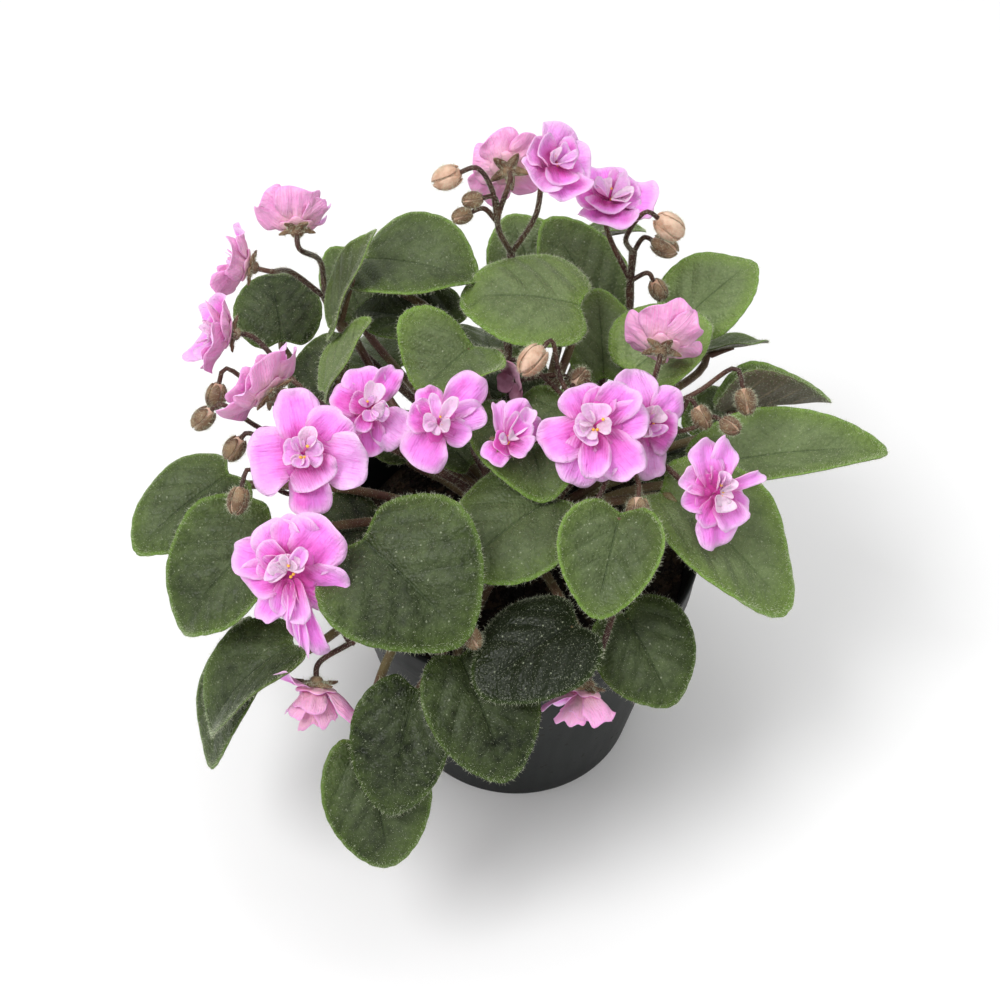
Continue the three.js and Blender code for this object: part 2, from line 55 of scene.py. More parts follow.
# A leaf: its blade runs from base to tip; arch and cup bend it along and across; the bend is a place
# that its stalk goes through
Leaf = namedtuple("Leaf", "name base tip width roll arch cup paleness bend")
# The paleness column is each leaf's own tone and, on the low leaves lying under the others, painted shade as
# well
LEAVES = [
    ("leaf_left", (-83, 5, 108), (-109, -16, 98), 31, 0, 3, -2, 0.2, None),
    ("leaf_left_front", (-68, -18, 112), (-94, -39, 92), 38, 0, 4, 2, 0.18, None),
    ("leaf_low_left", (-62, -45, 95), (-86, -62, 76), 30, 20, 4, 2, 0.12, None),
    ("leaf_low_left_under", (-75, -31, 80), (-89, -59, 52), 26, 30, 3, 0, 0.15, (-48, -22, 97)),
    ("leaf_low_front_under", (-42, -65, 76), (-36, -88, 48), 30, 0, 3, 1, 0.14, (-33, -44, 96)),
    ("leaf_low_front", (-28, -57, 91), (-36, -81, 65), 28, 0, 3, 2, 0.05, (-21, -48, 95)),
    ("leaf_low_middle", (-16, -51, 98), (-3, -77, 76), 32, 0, 2, 1, 0.08, None),
    ("leaf_glossy", (15.5, -46, 106), (-11.5, -63.5, 99), 32, 0, 3, -3, -0.1, (7, -24, 100)),
    ("leaf_low_right", (29, -36, 97), (42, -57, 82), 31, 0, 2, -1, 0.12, None),
    ("leaf_pale_front", (27, -23, 125), (20, -49, 112), 28, 0, 2, 4, 0.25, (25, -14, 110)),
    ("leaf_right_front", (40, -9, 118), (75, -34, 94), 36, 0, 4, 2, 0.42, None),
    ("leaf_right_long", (53, 8, 108), (107, 12, 111), 27, 0, 3, 3, 0.46, None),
    ("leaf_right_folded", (61, 31, 108), (93, 31, 112), 28, -40, 1, 8, 0.25, None),
    ("leaf_right_back_tip", (57, 60, 103), (79, 63, 104), 20, -35, 1, 1, 0.4, None),
    ("leaf_back_right_round", (50, 59, 116), (73, 75, 127), 30, 0, 2, 1, 0.6, None),
    ("leaf_pale_back_right", (33, 34, 120), (56, 46, 130), 32, 0, 2, 1, 0.68, None),
    ("leaf_back_right_upright", (26, 40, 112), (24, 64, 126), 22, 0, 2, 1, 0.45, (20, 22, 102)),
    ("leaf_top_round", (18, 44, 138), (-17, 48, 137), 40, 0, 3, -3, 0.5, None),
    ("leaf_back_middle", (26, 64, 114), (9, 87, 134), 30, 0, 2, 1, 0.25, None),
    ("leaf_back_far_right", (19, 93, 117), (41, 95, 123), 22, -30, 2, 1, 0.3, None),
    ("leaf_top_back_left", (-46, 67, 135), (-12, 53, 139), 38, 0, 3, 1, 0.23, (-20, 43, 129)),
    ("leaf_edge_on_left", (-55, 46, 127), (-41, 57, 155), 22, -30, 1, 1, 0.25, (-34, 22, 114)),
    ("leaf_back_left_far", (-72, 55, 112), (-77, 80, 118), 27, 0, 2, 1, 0.12, (-40, 26, 101)),
    ("leaf_back_left_under", (-19, 49, 124), (-50, 58, 122), 27, 0, 2, 1, 0.15, (-12, 26, 109)),
    ("leaf_curled_top", (-13, 34, 132), (-28, 18, 128), 36, 0, 1, 6, 0.42, None),
    ("leaf_bright_edge", (-56, 26, 120), (-42, 36, 140), 22, -30, 1, 1, 0.5, (-30, 14, 112)),
    ("leaf_dark_left", (-60, 32, 107), (-54, 50, 121), 22, -20, 2, 1, 0.12, (-34, 20, 102)),
    ("leaf_middle_front", (10, -10, 116), (-18, -34, 110), 37, 0, 3, -2, 0.26, None),
    ("leaf_middle", (-1, 19, 124), (8, -14, 118), 34, 0, 2, 1, 0.3, None),
    ("leaf_heart", (-42, -30, 122), (-14, -55, 111), 46, 15, 3, 2, 0.13, (-27, -14, 114)),
    ("leaf_back_dark", (6, 74, 116), (-2, 94, 130), 28, 0, 2, 1, 0.3, (8, 44, 102)),
    ("leaf_back_left_high", (-48, 66, 112), (-58, 88, 122), 20, 0, 2, 1, 0.3, (-26, 40, 97)),
    ("leaf_rear_left", (-38, 58, 98), (-55, 84, 84), 34, 0, 4, 1, 0.3, None),
    ("leaf_rear_middle", (-8, 62, 98), (-12, 92, 82), 36, 0, 4, 1, 0.3, None),
    ("leaf_rear_right", (26, 58, 98), (42, 86, 82), 34, 0, 4, 1, 0.3, (22, 48, 95)),
    ("leaf_rear_side", (56, 30, 95), (84, 44, 80), 34, 0, 4, 1, 0.3, None),
]
# Young leaves that fill the middle of the rosette, in the same form; they belong to the crown
YOUNG_LEAVES = [
    ("young_back_left", (-14, 38, 101), (-20, 54, 100), 20, 0, 2, 1, 0.12, None),
    ("young_back", (-2, 39, 105), (-5, 57, 102), 25, 0, 2, 1, 0.1, None),
    ("young_back_right", (21, 32, 100), (32, 45, 99), 19, 0, 2, 1, 0.12, None),
    ("young_left", (-40, -7, 98), (-60, -13, 97), 27, 0, 2, 1, 0.1, None),
    ("young_right", (34, 17, 99), (55, 25, 98), 25, 0, 2, 1, 0.1, None),
    ("young_left_back", (-32, 22, 98), (-46, 32, 99), 20, 0, 2, 1, 0.12, None),
    ("young_middle_left", (-14, 12, 104), (-24, 20, 107), 15, 0, 1, 1, 0.2, None),
    ("young_middle_right", (14, 12, 105), (24, 19, 106), 15, 0, 1, 1, 0.2, None),
]
LEAVES, YOUNG_LEAVES = ([Leaf(*row) for row in rows] for rows in (LEAVES, YOUNG_LEAVES))
# A flower: the stem holds the points of its own thin stalk, from its bunch up to it
Bloom = namedtuple("Bloom", "name place facing radius cup spin bunch stem")
BLOOMS = [
    ("bloom_top_left", (-3, 64, 171), (-1, 9, -2), 12, 4, 10, "back",
     ((-2, 65, 139), (-6, 59, 156),)),
    ("bloom_top_middle", (9, 56, 178), (4, -4, 9), 11, 4, 40, "back",
     ((-2, 65, 139), (5, 60, 158),)),
    ("bloom_top_right", (26, 65, 158), (1, -1, 10), 12.5, 4, 0, "back",
     ((34, 63, 130), (27, 67, 144),)),
    ("bloom_left_high", (-63, 54, 158), (-1, 8, 3), 11, 6, 20, "left",
     ((-58, 59, 127), (-58, 58, 142),)),
    ("bloom_left_upper", (-77, 48, 149), (-9, 1, 2), 11, 6, 50, "left",
     ((-58, 59, 127), (-67, 56, 140),)),
    ("bloom_left_lower", (-81, 28, 142), (-9, -1, 3), 11, 5, 5, "left",
     ((-44, 4, 127), (-62, 18, 131),)),
    ("bloom_left_inner", (-67, 4, 143), (-6, 6, 3), 13, 4, 30, "left",
     ((-44, 4, 127), (-54, 0, 133),)),
    ("bloom_left_large", (-57, -14, 138), (-1, -6, 8), 17, 2, 12, "left",
     ((-44, 4, 127),)),
    ("bloom_middle_left", (-41, 1, 139), (2, -5, 8), 12.5, 3, 60, "left",
     ((-44, 4, 127),)),
    ("bloom_middle", (-22, -4, 139), (1, -6, 7), 12.5, 3, 35, "left",
     ((-44, 4, 127), (-28, 4, 128),)),
    ("bloom_half_open", (-4, -4, 131), (3, -3, 8), 9, 8, 15, "right",
     ((23, 4, 126), (6, 2, 126),)),
    ("bloom_right_large", (20, -6, 140), (0, -6, 8), 17, 2, 0, "right",
     ((23, 4, 126),)),
    ("bloom_right_behind", (35, 3, 131), (3, -5, 8), 14, 2, 25, "right",
     ((23, 4, 126), (30, 8, 125),)),
    ("bloom_right_front", (52, -19, 128), (4, -6, 7), 15, 3, 45, "right",
     ((23, 4, 126), (36, 2, 121), (46, -10, 121),)),
    ("bloom_right_back_view", (40, 24, 140), (2, 9, 1), 12, 6, 10, "right",
     ((23, 4, 126), (35, 14, 128),)),
    ("bloom_front_left", (-59.5, -42, 124), (-1, -7, 6), 16, 3, 50, "left",
     ((-46, -47, 98), (-56, -34, 108),)),
    ("bloom_hanging_left", (-55.5, -55, 89), (-1, -7, -7), 13, 6, 0, "left",
     ((-46, -47, 98),)),
    ("bloom_hanging_front", (18, -59, 93.5), (-2, -6, -7), 10, 6, 20, "right",
     ((25, -42, 102), (22, -50, 99),)),
]
BLOOMS = [Bloom(*row) for row in BLOOMS]
# The thick stalks: bunch, and points from the crown up
FLOWER_STALKS = [
    ("back", ((1, 4, 88), (-1, 12, 104), (-3, 50, 126), (-2, 65, 139))),
    ("back", ((1, 4, 88), (7, 14, 104), (33, 56, 110), (34, 63, 130), (34, 63, 141))),
    ("left", ((-4, 0, 88), (-11, 13, 104), (-40, 44, 109), (-54, 57, 116), (-58, 59, 127))),
    ("left", ((-4, 0, 88), (-14, 2, 104), (-44, 4, 127))),
    ("left", ((-4, 0, 88), (-10, -12, 101), (-34, -34, 104), (-46, -47, 98))),
    ("right", ((4, -2, 88), (13, 2, 104), (23, 4, 126))),
    ("right", ((4, -2, 88), (10, -9, 103), (18, -26, 103), (25, -42, 102))),
]
# The closed buds: bunch, radius and the points of the thread
BUDS = [
    ("back", 3.2, ((-6, 59, 156), (-8, 58, 170), (-12, 57, 177), (-17, 57, 175))),
    ("back", 2.2, ((-6, 59, 156), (-7, 58, 166), (-11, 56, 167))),
    ("back", 2.2, ((-6, 59, 156), (-10, 59, 161), (-14, 57, 161))),
    ("back", 3.6, ((34, 63, 141), (31, 57, 152), (36, 54, 164), (40, 54, 161))),
    ("back", 3.1, ((34, 63, 141), (37, 63, 147), (40, 61, 147))),
    ("back", 2.6, ((34, 63, 130), (39, 62, 134), (41, 61, 131))),
    ("left", 2.8, ((-44, 4, 127), (-70, 6, 125), (-83, 9, 133), (-86, 8, 131))),
    ("left", 2.8, ((-44, 4, 127), (-68, 14, 127), (-82, 18, 138), (-84, 15, 134))),
    ("left", 2.8, ((-44, 4, 127), (-68, -1, 129), (-75, 0, 131), (-77, -1, 129))),
    ("left", 2.8, ((-44, 4, 127), (-62, -16, 124), (-73, -13, 131), (-75, -18, 128))),
    ("left", 2.4, ((-10, -12, 101), (-18, -36, 106), (-16, -46, 109), (-14, -49, 107))),
    ("right", 3.6, ((23, 4, 126), (12, 18, 133), (9, 24, 143), (6, 21, 142))),
    ("right", 2.6, ((23, 4, 126), (15, 20, 128), (16, 22, 128))),
    ("right", 2.2, ((23, 4, 126), (2, 28, 130), (-4, 30, 130))),
    ("right", 2.6, ((23, 4, 126), (44, 10, 126), (48, 13, 131), (50, 11, 129))),
    ("right", 2.8, ((23, 4, 126), (50, 18, 128), (61, 20, 136), (63, 15, 132))),
    ("right", 2.4, ((23, 4, 126), (48, 7, 125), (54, 9, 128), (57, 6, 129))),
    ("right", 2.8, ((23, 4, 126), (23, -15, 127), (20, -20, 124))),
    ("right", 3.1, ((23, 4, 126), (32, -15, 128), (32, -19, 125))),
]
# Buds thicker than this are close to opening, and their sepals have turned pale
PALE_BUD = 3.1
# The withered flower: its bunch, its radius and the points of its thread
WITHERED = ("right", 6, ((23, 4, 126), (21, 20, 129), (10, 26, 127), (-1, 20, 131)))

# The CAD part's own sizes, so that each piece keeps its node's place and form
NOTCH_DEPTH, NOTCH_ANGLE, TIP_POINT, WIDE_END = 0.24, 0.28, 0.12, 0.13
HEEL = 1 - NOTCH_DEPTH
BLADE, PETAL, GAP = 0.8, 0.7, 0.3
CROWN_RADIUS, CROWN_FOOT, CROWN_TOP = 8, 60, 96
STALK_RUN, STALK_CLIMB, LOW_LEAF, HIGH_LEAF = 2.5, 4, 80, 130
LEAF_STALK, FLOWER_STALK, THREAD, KNOB = 1.3, 1.2, 0.8, 2.2
RIM_RADIUS, POT_HEIGHT, LIP_HEIGHT, LIP_STEP = 54, 90, 12, 2.5
BASE_RADIUS, POT_WALL, POT_FLOOR = 38.5, 1.6, 2.4
DRAIN_HOLES, DRAIN_RADIUS, DRAIN_CIRCLE = 6, 4, 27
SOIL_TOP, SOIL_MOUND, SOIL_HOLE = 78, 1.5, 9.3
KNOBS = {"left": (-44, 4, 127), "right": (23, 4, 126)}

# The width of a middling leaf and the radius of a middling flower, to which their small forms scale
LEAF_WIDTH, BLOOM_RADIUS = 34, 14
# The rings and sectors of a blade: on a leaf, on a young leaf, and where only hairs are to grow
FINE_BLADE, YOUNG_BLADE, HAIR_BLADE = (18, 84), (10, 48), (9, 60)
# How many points or sides the thin stalks, the pot, the soil and the drain holes have
STALK_STEPS, POT_SIDES, SOIL_SIDES, DRAIN_SIDES = 26, 128, 96, 24
# The sepals of one flower or bud, and half the thickness of sepals, throats and withered petals
SEPALS, SEPAL_RINGS, SEPAL_SECTORS, SEPAL_HALF = 5, 5, 18, 0.22
THROAT_HALF, WITHERED_HALF = 0.2, 0.15
# How hairy each surface is, against the density in the looks
HAIRY_STALK, HAIRY_SEPAL, HAIRY_BUD, HAIRY_LEAF_STALK, HAIRY_CROWN = 1.0, 1.3, 0.4, 0.55, 0.8
# The seeds of what is drawn at random; a young leaf adds its own index to a leaf's, as a leaf does
LEAF_SEED, YOUNG_INDEX, BLOOM_SEED, SOIL_SEED, CRUMB_SEED = 100, 60, 400, 7, 3
STALK_HAIR_SEED, LEAF_STALK_HAIR_SEED = 10, 20

# Side veins of a leaf, in half lengths and half widths: how far apart they leave the midrib, how much
# they lean forward, and how much they curve
VEIN_STEP, VEIN_LEAN, VEIN_CURVE = 0.44, 0.72, 0.25

# The levels of a flower's petals, from the outside in: lift, ruffle in millimetres, and how much a
# petal's sides curl up
LEVELS = [(0.0, 1.3, 0.3), (0.9, 1.2, 1.2), (1.5, 0.8, 2.0)]
# The whorls of a flower that isn't listed below: petals, share of the radius and how much it varies,
# how much steeper they stand, half width as a share of the length, and turn in petals
WHORLS = [
    (5, 1.0, 0.08, 0.5, 0.5, 0.0),
    (3, 0.64, 0.12, 2.6, 0.6, 0.45),
    (4, 0.38, 0.08, 3.8, 0.56, 0.2),
]
HEART_PETALS = 4
# The petals of the flowers nearest the front, one by one: heading in degrees, length, half width as a
# share of the length, height of the tip, and level
LOBES = {
    "bloom_left_large": [
        (-177, 15.9, 0.52, 1, 0), (100, 18.4, 0.3, -1, 0), (40, 15.6, 0.36, 0, 0),
        (-15, 17.3, 0.38, -1, 0), (-89, 16.7, 0.33, -2, 0), (-67, 10.0, 0.64, 2.4, 0),
        (107, 4.4, 0.39, 5, 2), (59, 7.4, 0.3, 6, 2), (11, 6.3, 0.27, 5, 2),
    ],
    "bloom_middle_left": [
        (-20, 15.2, 0.22, 0, 0), (-115, 12.9, 0.42, 0, 0), (-162, 12.5, 0.31, -2, 0),
        (20, 12.6, 0.43, -1, 0), (78, 10.9, 0.42, 0, 0), (130, 8.8, 0.49, 1, 0), (1, 7.3, 0.34, 5, 2),
        (170, 7.8, 0.26, 5, 1), (-107, 5.5, 0.34, 4, 2), (81, 5.7, 0.52, 3, 1),
    ],
    "bloom_middle": [
        (6, 18.1, 0.25, 1, 0), (-27, 14.0, 0.26, 0, 0), (-159, 13.3, 0.45, 1, 0),
        (-65, 9.7, 0.35, 0, 0), (114, 8.9, 0.48, 2, 0), (68, 10.9, 0.33, -1, 0), (60, 8.2, 0.18, 5, 2),
        (16, 8.2, 0.21, 6, 2), (-61, 3.0, 0.58, 5, 2),
    ],
    "bloom_half_open": [
        (173, 7.9, 0.46, 1, 0), (48, 12.1, 0.2, 2, 0), (7, 13.3, 0.33, 4, 0), (-19, 12.5, 0.28, 2, 0),
        (-111, 4.2, 0.81, -1, 0), (-4, 6.9, 0.49, 7, 1), (-92, 6.6, 0.51, 6, 1), (0, 10.9, 0.19, 6, 2),
    ],
    "bloom_right_large": [
        (115, 12.4, 0.45, 0, 0), (78, 11.2, 0.36, 0.5, 0), (47, 15.1, 0.34, 1.5, 0),
        (11, 15.4, 0.31, 0, 0), (-160, 15.6, 0.38, 0, 0), (-113, 16.9, 0.33, -1, 0),
        (-50, 17.4, 0.34, 1.5, 0), (-78, 14.7, 0.27, -2, 0), (-91, 14.2, 0.28, 3, 1),
        (-139, 4.2, 0.61, 6, 2), (-8, 4.3, 0.47, 6, 2),
    ],
    "bloom_right_behind": [
        (55, 16.7, 0.35, 0, 0), (-9, 14.0, 0.34, 0, 0), (-72, 9.1, 0.64, 1, 0),
        (-130, 15.1, 0.29, -1, 0), (157, 10.1, 0.46, 0, 0), (13, 3.9, 0.71, 3, 1),
        (97, 1.8, 0.92, 5, 2), (176, 5.7, 0.29, 5, 2),
    ],
    "bloom_right_front": [
        (33, 15.1, 0.32, 0, 0), (2, 16.2, 0.23, 0, 0), (79, 11.3, 0.33, 0, 0), (125, 9.4, 0.4, 0, 0),
        (-154, 15.8, 0.31, -1, 0), (179, 10.0, 0.3, 1, 1), (-90, 12.2, 0.26, 0, 0),
        (-48, 14.6, 0.12, 4, 1), (-133, 11.4, 0.35, 3, 1), (30, 5.9, 0.34, 6, 2), (-51, 2.5, 0.7, 5, 2),
    ],
    "bloom_hanging_left": [
        (138, 14.0, 0.3, -4, 0), (-8, 13.6, 0.27, 9, 0), (90, 8.0, 0.55, 5, 0), (-100, 8.5, 0.5, 6, 0),
        (140, 8.0, 0.5, 8, 0), (35, 7.5, 0.5, 9, 0), (75, 4.5, 0.75, 10, 0), (-60, 6.0, 0.6, 9, 0),
    ],
    "bloom_hanging_front": [
        (170, 11.0, 0.42, 9, 0), (100, 7.0, 0.6, 9.5, 0), (15, 9.5, 0.5, 6, 0), (-40, 8.5, 0.5, 7, 0),
        (-120, 8.0, 0.5, 9, 0), (60, 6.5, 0.5, 7, 0), (130, 6.0, 0.5, 8, 0),
    ],
    "bloom_front_left": [
        (71, 14.6, 0.4, 1, 0), (38, 15.3, 0.36, 1, 0), (3, 17.0, 0.44, 1, 0), (-73, 15.9, 0.4, 0, 0),
        (119, 17.3, 0.26, 1, 0), (149, 13.2, 0.36, 2, 0), (-167, 16.9, 0.23, -2, 0),
        (-125, 14.5, 0.24, 2, 1), (-150, 14.1, 0.22, 0, 1), (-128, 25.9, 0.06, -3, 1),
        (-119, 25.1, 0.1, -5, 1), (-134, 22.5, 0.05, -3, 1), (89, 10.4, 0.33, 4, 1),
        (114, 8.4, 0.32, 5, 1), (39, 4.2, 0.56, 6, 2), (9, 8.9, 0.21, 6, 2),
    ],
}


# ---- Shapes ----


class Shape:
    """Gathers the points and triangles of one mesh, with what its materials read at each point."""

    def __init__(self):
        self.points, self.faces, self.slots = [], [], []
        self.spots, self.looks, self.hairy = [], [], []
        self.count = 0

    def add(self, points, faces, slot=0, spots=None, looks=(0, 0, 0), hairy=0.0):
        number = len(points)
        self.points.append(points)
        self.faces.append(np.asarray(faces) + self.count)
        self.slots.append(np.full(len(faces), slot))
        self.spots.append(np.zeros((number, 2)) if spots is None else spots)
        self.looks.append(np.broadcast_to(np.asarray(looks, float), (number, 3)))
        self.hairy.append(np.broadcast_to(np.asarray(hairy, float), number))
        self.count += number

    def build(self, name, materials):
        """A new object in the scene, with its place in its mesh."""
        mesh = bpy.data.meshes.new(name)
        faces = np.vstack(self.faces)
        mesh.from_pydata((np.vstack(self.points) * MM).tolist(), [], faces.tolist())
        spots = np.vstack(self.spots)[faces.ravel()]
        mesh.uv_layers.new(name="spots").data.foreach_set("uv", spots.ravel().astype(np.float32))
        looks = mesh.attributes.new("looks", "FLOAT_VECTOR", "POINT")
        looks.data.foreach_set("vector", np.vstack(self.looks).ravel().astype(np.float32))
        hairy = mesh.attributes.new("hairy", "FLOAT", "POINT")
        hairy.data.foreach_set("value", np.concatenate(self.hairy).astype(np.float32))
        for material in materials:
            mesh.materials.append(material)
        mesh.polygons.foreach_set("material_index", np.concatenate(self.slots).astype(np.int32))
        mesh.polygons.foreach_set("use_smooth", np.ones(len(faces), bool))
        mesh.update()
        return show(name, mesh)


def show(name, mesh):
    made = bpy.data.objects.new(name, mesh)
    bpy.context.scene.collection.objects.link(made)
    return made


def unit(vectors):
    return vectors / np.maximum(np.linalg.norm(vectors, axis=-1, keepdims=True), 1e-9)


def bell(values, width):
    return np.exp(-((values / width) ** 2))


def eased(values, low, high):
    share = np.clip((values - low) / (high - low), 0, 1)
    return share * share * (3 - 2 * share)


def smooth_line(points, count):
    """Evenly spaced places along a centripetal Catmull-Rom curve through the points."""
    given = np.asarray(points, float)
    given = np.vstack([2 * given[0] - given[1], given, 2 * given[-1] - given[-2]])
    fine = []
    for a, b, c, d in zip(given, given[1:], given[2:], given[3:]):
        before, here, after = (max(np.linalg.norm(v) ** 0.5, 1e-3) for v in (b - a, c - b, d - c))
        leave = ((b - a) / before - (c - a) / (before + here) + (c - b) / here) * here
        arrive = ((c - b) / here - (d - b) / (here + after) + (d - c) / after) * here
        t = np.linspace(0, 1, 24, endpoint=False)[:, None]
        rise = b + leave * t + (3 * (c - b) - 2 * leave - arrive) * t**2
        fine.append(rise + (2 * (b - c) + leave + arrive) * t**3)
    fine = np.vstack([*fine, given[-2][None]])
    walked = np.r_[0, np.cumsum(np.linalg.norm(np.diff(fine, axis=0), axis=1))]
    even = np.linspace(0, walked[-1], count)
    return np.stack([np.interp(even, walked, fine[:, k]) for k in range(3)], 1)


def ring_faces(rings, sides):
    """Triangles between rings of points, to one point before the first ring and one after the last."""
    around = np.arange(sides)
    after = (around + 1) % sides
    faces = [np.stack([np.full(sides, rings * sides), after, around], 1)]
    for ring in range(rings - 1):
        a, b = ring * sides + around, ring * sides + after
        faces += [np.stack([a, b, b + sides], 1), np.stack([a, b + sides, a + sides], 1)]
    end = (rings - 1) * sides
    faces.append(np.stack([np.full(sides, rings * sides + 1), end + around, end + after], 1))
    return np.vstack(faces)


def tube(shape, line, radii, sides=10, **extra):
    """A round stalk along a line, closed by a low dome at both ends."""
    radii = np.broadcast_to(np.asarray(radii, float), len(line))
    tangents = unit(np.gradient(line, axis=0))
    angles = 2 * math.pi * np.arange(sides)[:, None] / sides
    side = np.cross(tangents[0], (0.31, 0.52, 0.79))
    rings = []
    for place, tangent, radius in zip(line, tangents, radii):
        side = unit(side - tangent * (side @ tangent))
        other = np.cross(tangent, side)
        rings.append(place + radius * (np.cos(angles) * side + np.sin(angles) * other))
    ends = [line[0] - tangents[0] * radii[0] * 0.5, line[-1] + tangents[-1] * radii[-1] * 0.5]
    shape.add(np.vstack([*rings, *ends]), ring_faces(len(line), sides), **extra)


def lathe(profile, sides):
    """Points and triangles of a profile of (radius, height) pairs, whose ends are on the axis."""
    angles = 2 * math.pi * np.arange(sides) / sides
    rings = [
        np.stack([radius * np.cos(angles), radius * np.sin(angles), np.full(sides, height)], 1)
        for radius, height in profile[1:-1]
    ]
    ends = [[0, 0, profile[0][1]], [0, 0, profile[-1][1]]]
    return np.vstack([*rings, ends]), ring_faces(len(rings), sides)


def polar(rings, sectors):
    """Reach from 0 at the middle to 1 at the edge, angle, and the triangles of a disc."""
    reach = np.r_[0, np.repeat(np.arange(1, rings + 1) / rings, sectors)]
    angle = np.r_[0, np.tile(2 * math.pi * np.arange(sectors) / sectors, rings)]
    around = np.arange(sectors)
    after = (around + 1) % sectors
    faces = [np.stack([np.zeros(sectors, int), 1 + around, 1 + after], 1)]
    for ring in range(rings - 1):
        a, b = 1 + ring * sectors + around, 1 + ring * sectors + after
        faces += [np.stack([a, a + sectors, b + sectors], 1), np.stack([a, b + sectors, b], 1)]
    return reach, angle, np.vstack(faces)


def sheet(middle, faces, sectors, above, below):
    """A closed thin sheet round its middle surface: the upper points come first, then the lower ones."""
    corners = middle[faces]
    crosses = np.cross(corners[:, 1] - corners[:, 0], corners[:, 2] - corners[:, 0])
    normals = np.zeros_like(middle)
    for corner in range(3):
        np.add.at(normals, faces[:, corner], crosses)
    normals = unit(normals)
    number = len(middle)
    rim = np.arange(number - sectors, number)
    after = np.roll(rim, -1)
    points = [middle + normals * np.reshape(above, (-1, 1)), middle - normals * np.reshape(below, (-1, 1))]
    edge = [np.stack([rim + number, after + number, after], 1), np.stack([rim + number, after, rim], 1)]
    return np.vstack(points), np.vstack([faces, faces[:, ::-1] + number, *edge])


# ---- Leaves ----


def leaf_axes(leaf):
    """A leaf's base, its length, and the axes from base to tip, across, and out of its upper face."""
    base, tip = np.array(leaf.base, float), np.array(leaf.tip, float)
    along = unit(tip - base)
    level = unit(np.cross((0, 0, 1), along))
    roll = math.radians(leaf.roll)
    across = level * math.cos(roll) + np.cross(along, level) * math.sin(roll)
    return base, np.linalg.norm(tip - base), along, across, np.cross(along, across)


def leaf_blade(shape, leaf, index, detail, looks, slot=0):
    """A heart-shaped blade, quilted between sunken veins, with a midrib that stands out underneath."""
    chance = np.random.default_rng(LEAF_SEED + index)
    reach, angle, faces = polar(*detail)
    notch = NOTCH_DEPTH * bell(math.pi - angle, NOTCH_ANGLE)
    point = TIP_POINT * np.maximum(0, np.cos(angle)) ** 8
    scallop = 1 + looks.scallop * (np.abs(np.sin(12 * angle)) - 0.6) * reach**5
    x = (np.cos(angle) + point + notch) * reach * scallop
    y = np.sin(angle) * (1 - WIDE_END * np.cos(angle)) * reach * scallop
    share = (x + HEEL) / (HEEL + 1 + TIP_POINT)
    away = (x - VEIN_LEAN * np.abs(y) - VEIN_CURVE * y**2) / VEIN_STEP
    away = np.abs(away - np.round(away))
    fades = eased(x, 1.05, 0.4)
    size = leaf.width / LEAF_WIDTH
    quilt = looks.quilting / MM * chance.uniform(0.35, 1) * (1 - np.cos(2 * math.pi * away)) / 2
    quilt = quilt * (1 - reach**4) * eased(np.abs(y), 0.02, 0.35)
    groove = -0.8 * bell(y, 0.09) * fades
    waves = sum(
        chance.uniform(0.3, 0.8) * np.sin(times * angle + chance.uniform(0, 6.3)) * reach**2
        for times in (2, 3, 5)
    )
    fold = min(2.0 + 0.4 * leaf.cup, 3.0) * (np.hypot(y, 0.12) - 0.12)
    height = 4 * leaf.arch * share * (1 - share) + leaf.cup * y**2 + size * (quilt + groove + waves + fold)
    base, length, ahead, across, out = leaf_axes(leaf)
    place = base + np.outer(share * length, ahead) + np.outer(y * leaf.width / 2, across)
    place = place + np.outer(height, out)
    half = looks.thickness / MM / 2 * (1 - 0.55 * reach**6)
    rib = 0.55 * size * bell(y, 0.07) * fades * eased(reach, 1, 0.9)
    points, triangles = sheet(place, faces, detail[1], half, half + rib)
    spots = np.tile(np.stack([x, y], 1), (2, 1))
    under = np.repeat([0.0, 1.0], len(reach))
    seen = np.stack([np.full(2 * len(reach), leaf.paleness), np.tile(reach, 2), under], 1)
    # thick at the margin, thinner underneath and on the darkest leaves
    fuzz = np.tile(0.4 + 0.3 * reach**6 + 2.0 * (reach > 0.99), 2) * (1 - 0.4 * under)
    fuzz = fuzz * (0.65 + 0.8 * min(max(leaf.paleness, 0), 0.5))
    shape.add(points, triangles, slot, spots, seen, fuzz)


def leaf_stalk_points(leaf):
    """The points of a leaf's stalk, from inside the crown to just under the blade."""
    base, length, ahead, _, out = leaf_axes(leaf)
    lift = 4 * leaf.arch * STALK_RUN / length
    under = lift - BLADE / 2 - GAP - 0.75 * LEAF_STALK
    end = base + ahead * STALK_RUN + out * under
    below = base + ahead * STALK_RUN / 4 + out * (under - STALK_CLIMB)
    heading = math.atan2(end[1], end[0])
    rise = min(max((base[2] - LOW_LEAF) / (HIGH_LEAF - LOW_LEAF), 0), 1)
    start = np.array([math.cos(heading), math.sin(heading), 0]) * CROWN_RADIUS / 2
    start[2] = CROWN_TOP - 12 + 8 * rise
    if leaf.bend:
        bend = np.array(leaf.bend, float)
    else:
        bend = start + (below - start) * 0.55
        bend[2] += 0.08 * np.linalg.norm(start - below)
    if math.hypot(end[0], end[1]) > RIM_RADIUS - 6:
        bend[2] = max(bend[2], POT_HEIGHT + LEAF_STALK + 2.5)
    return [start, bend, below, end]


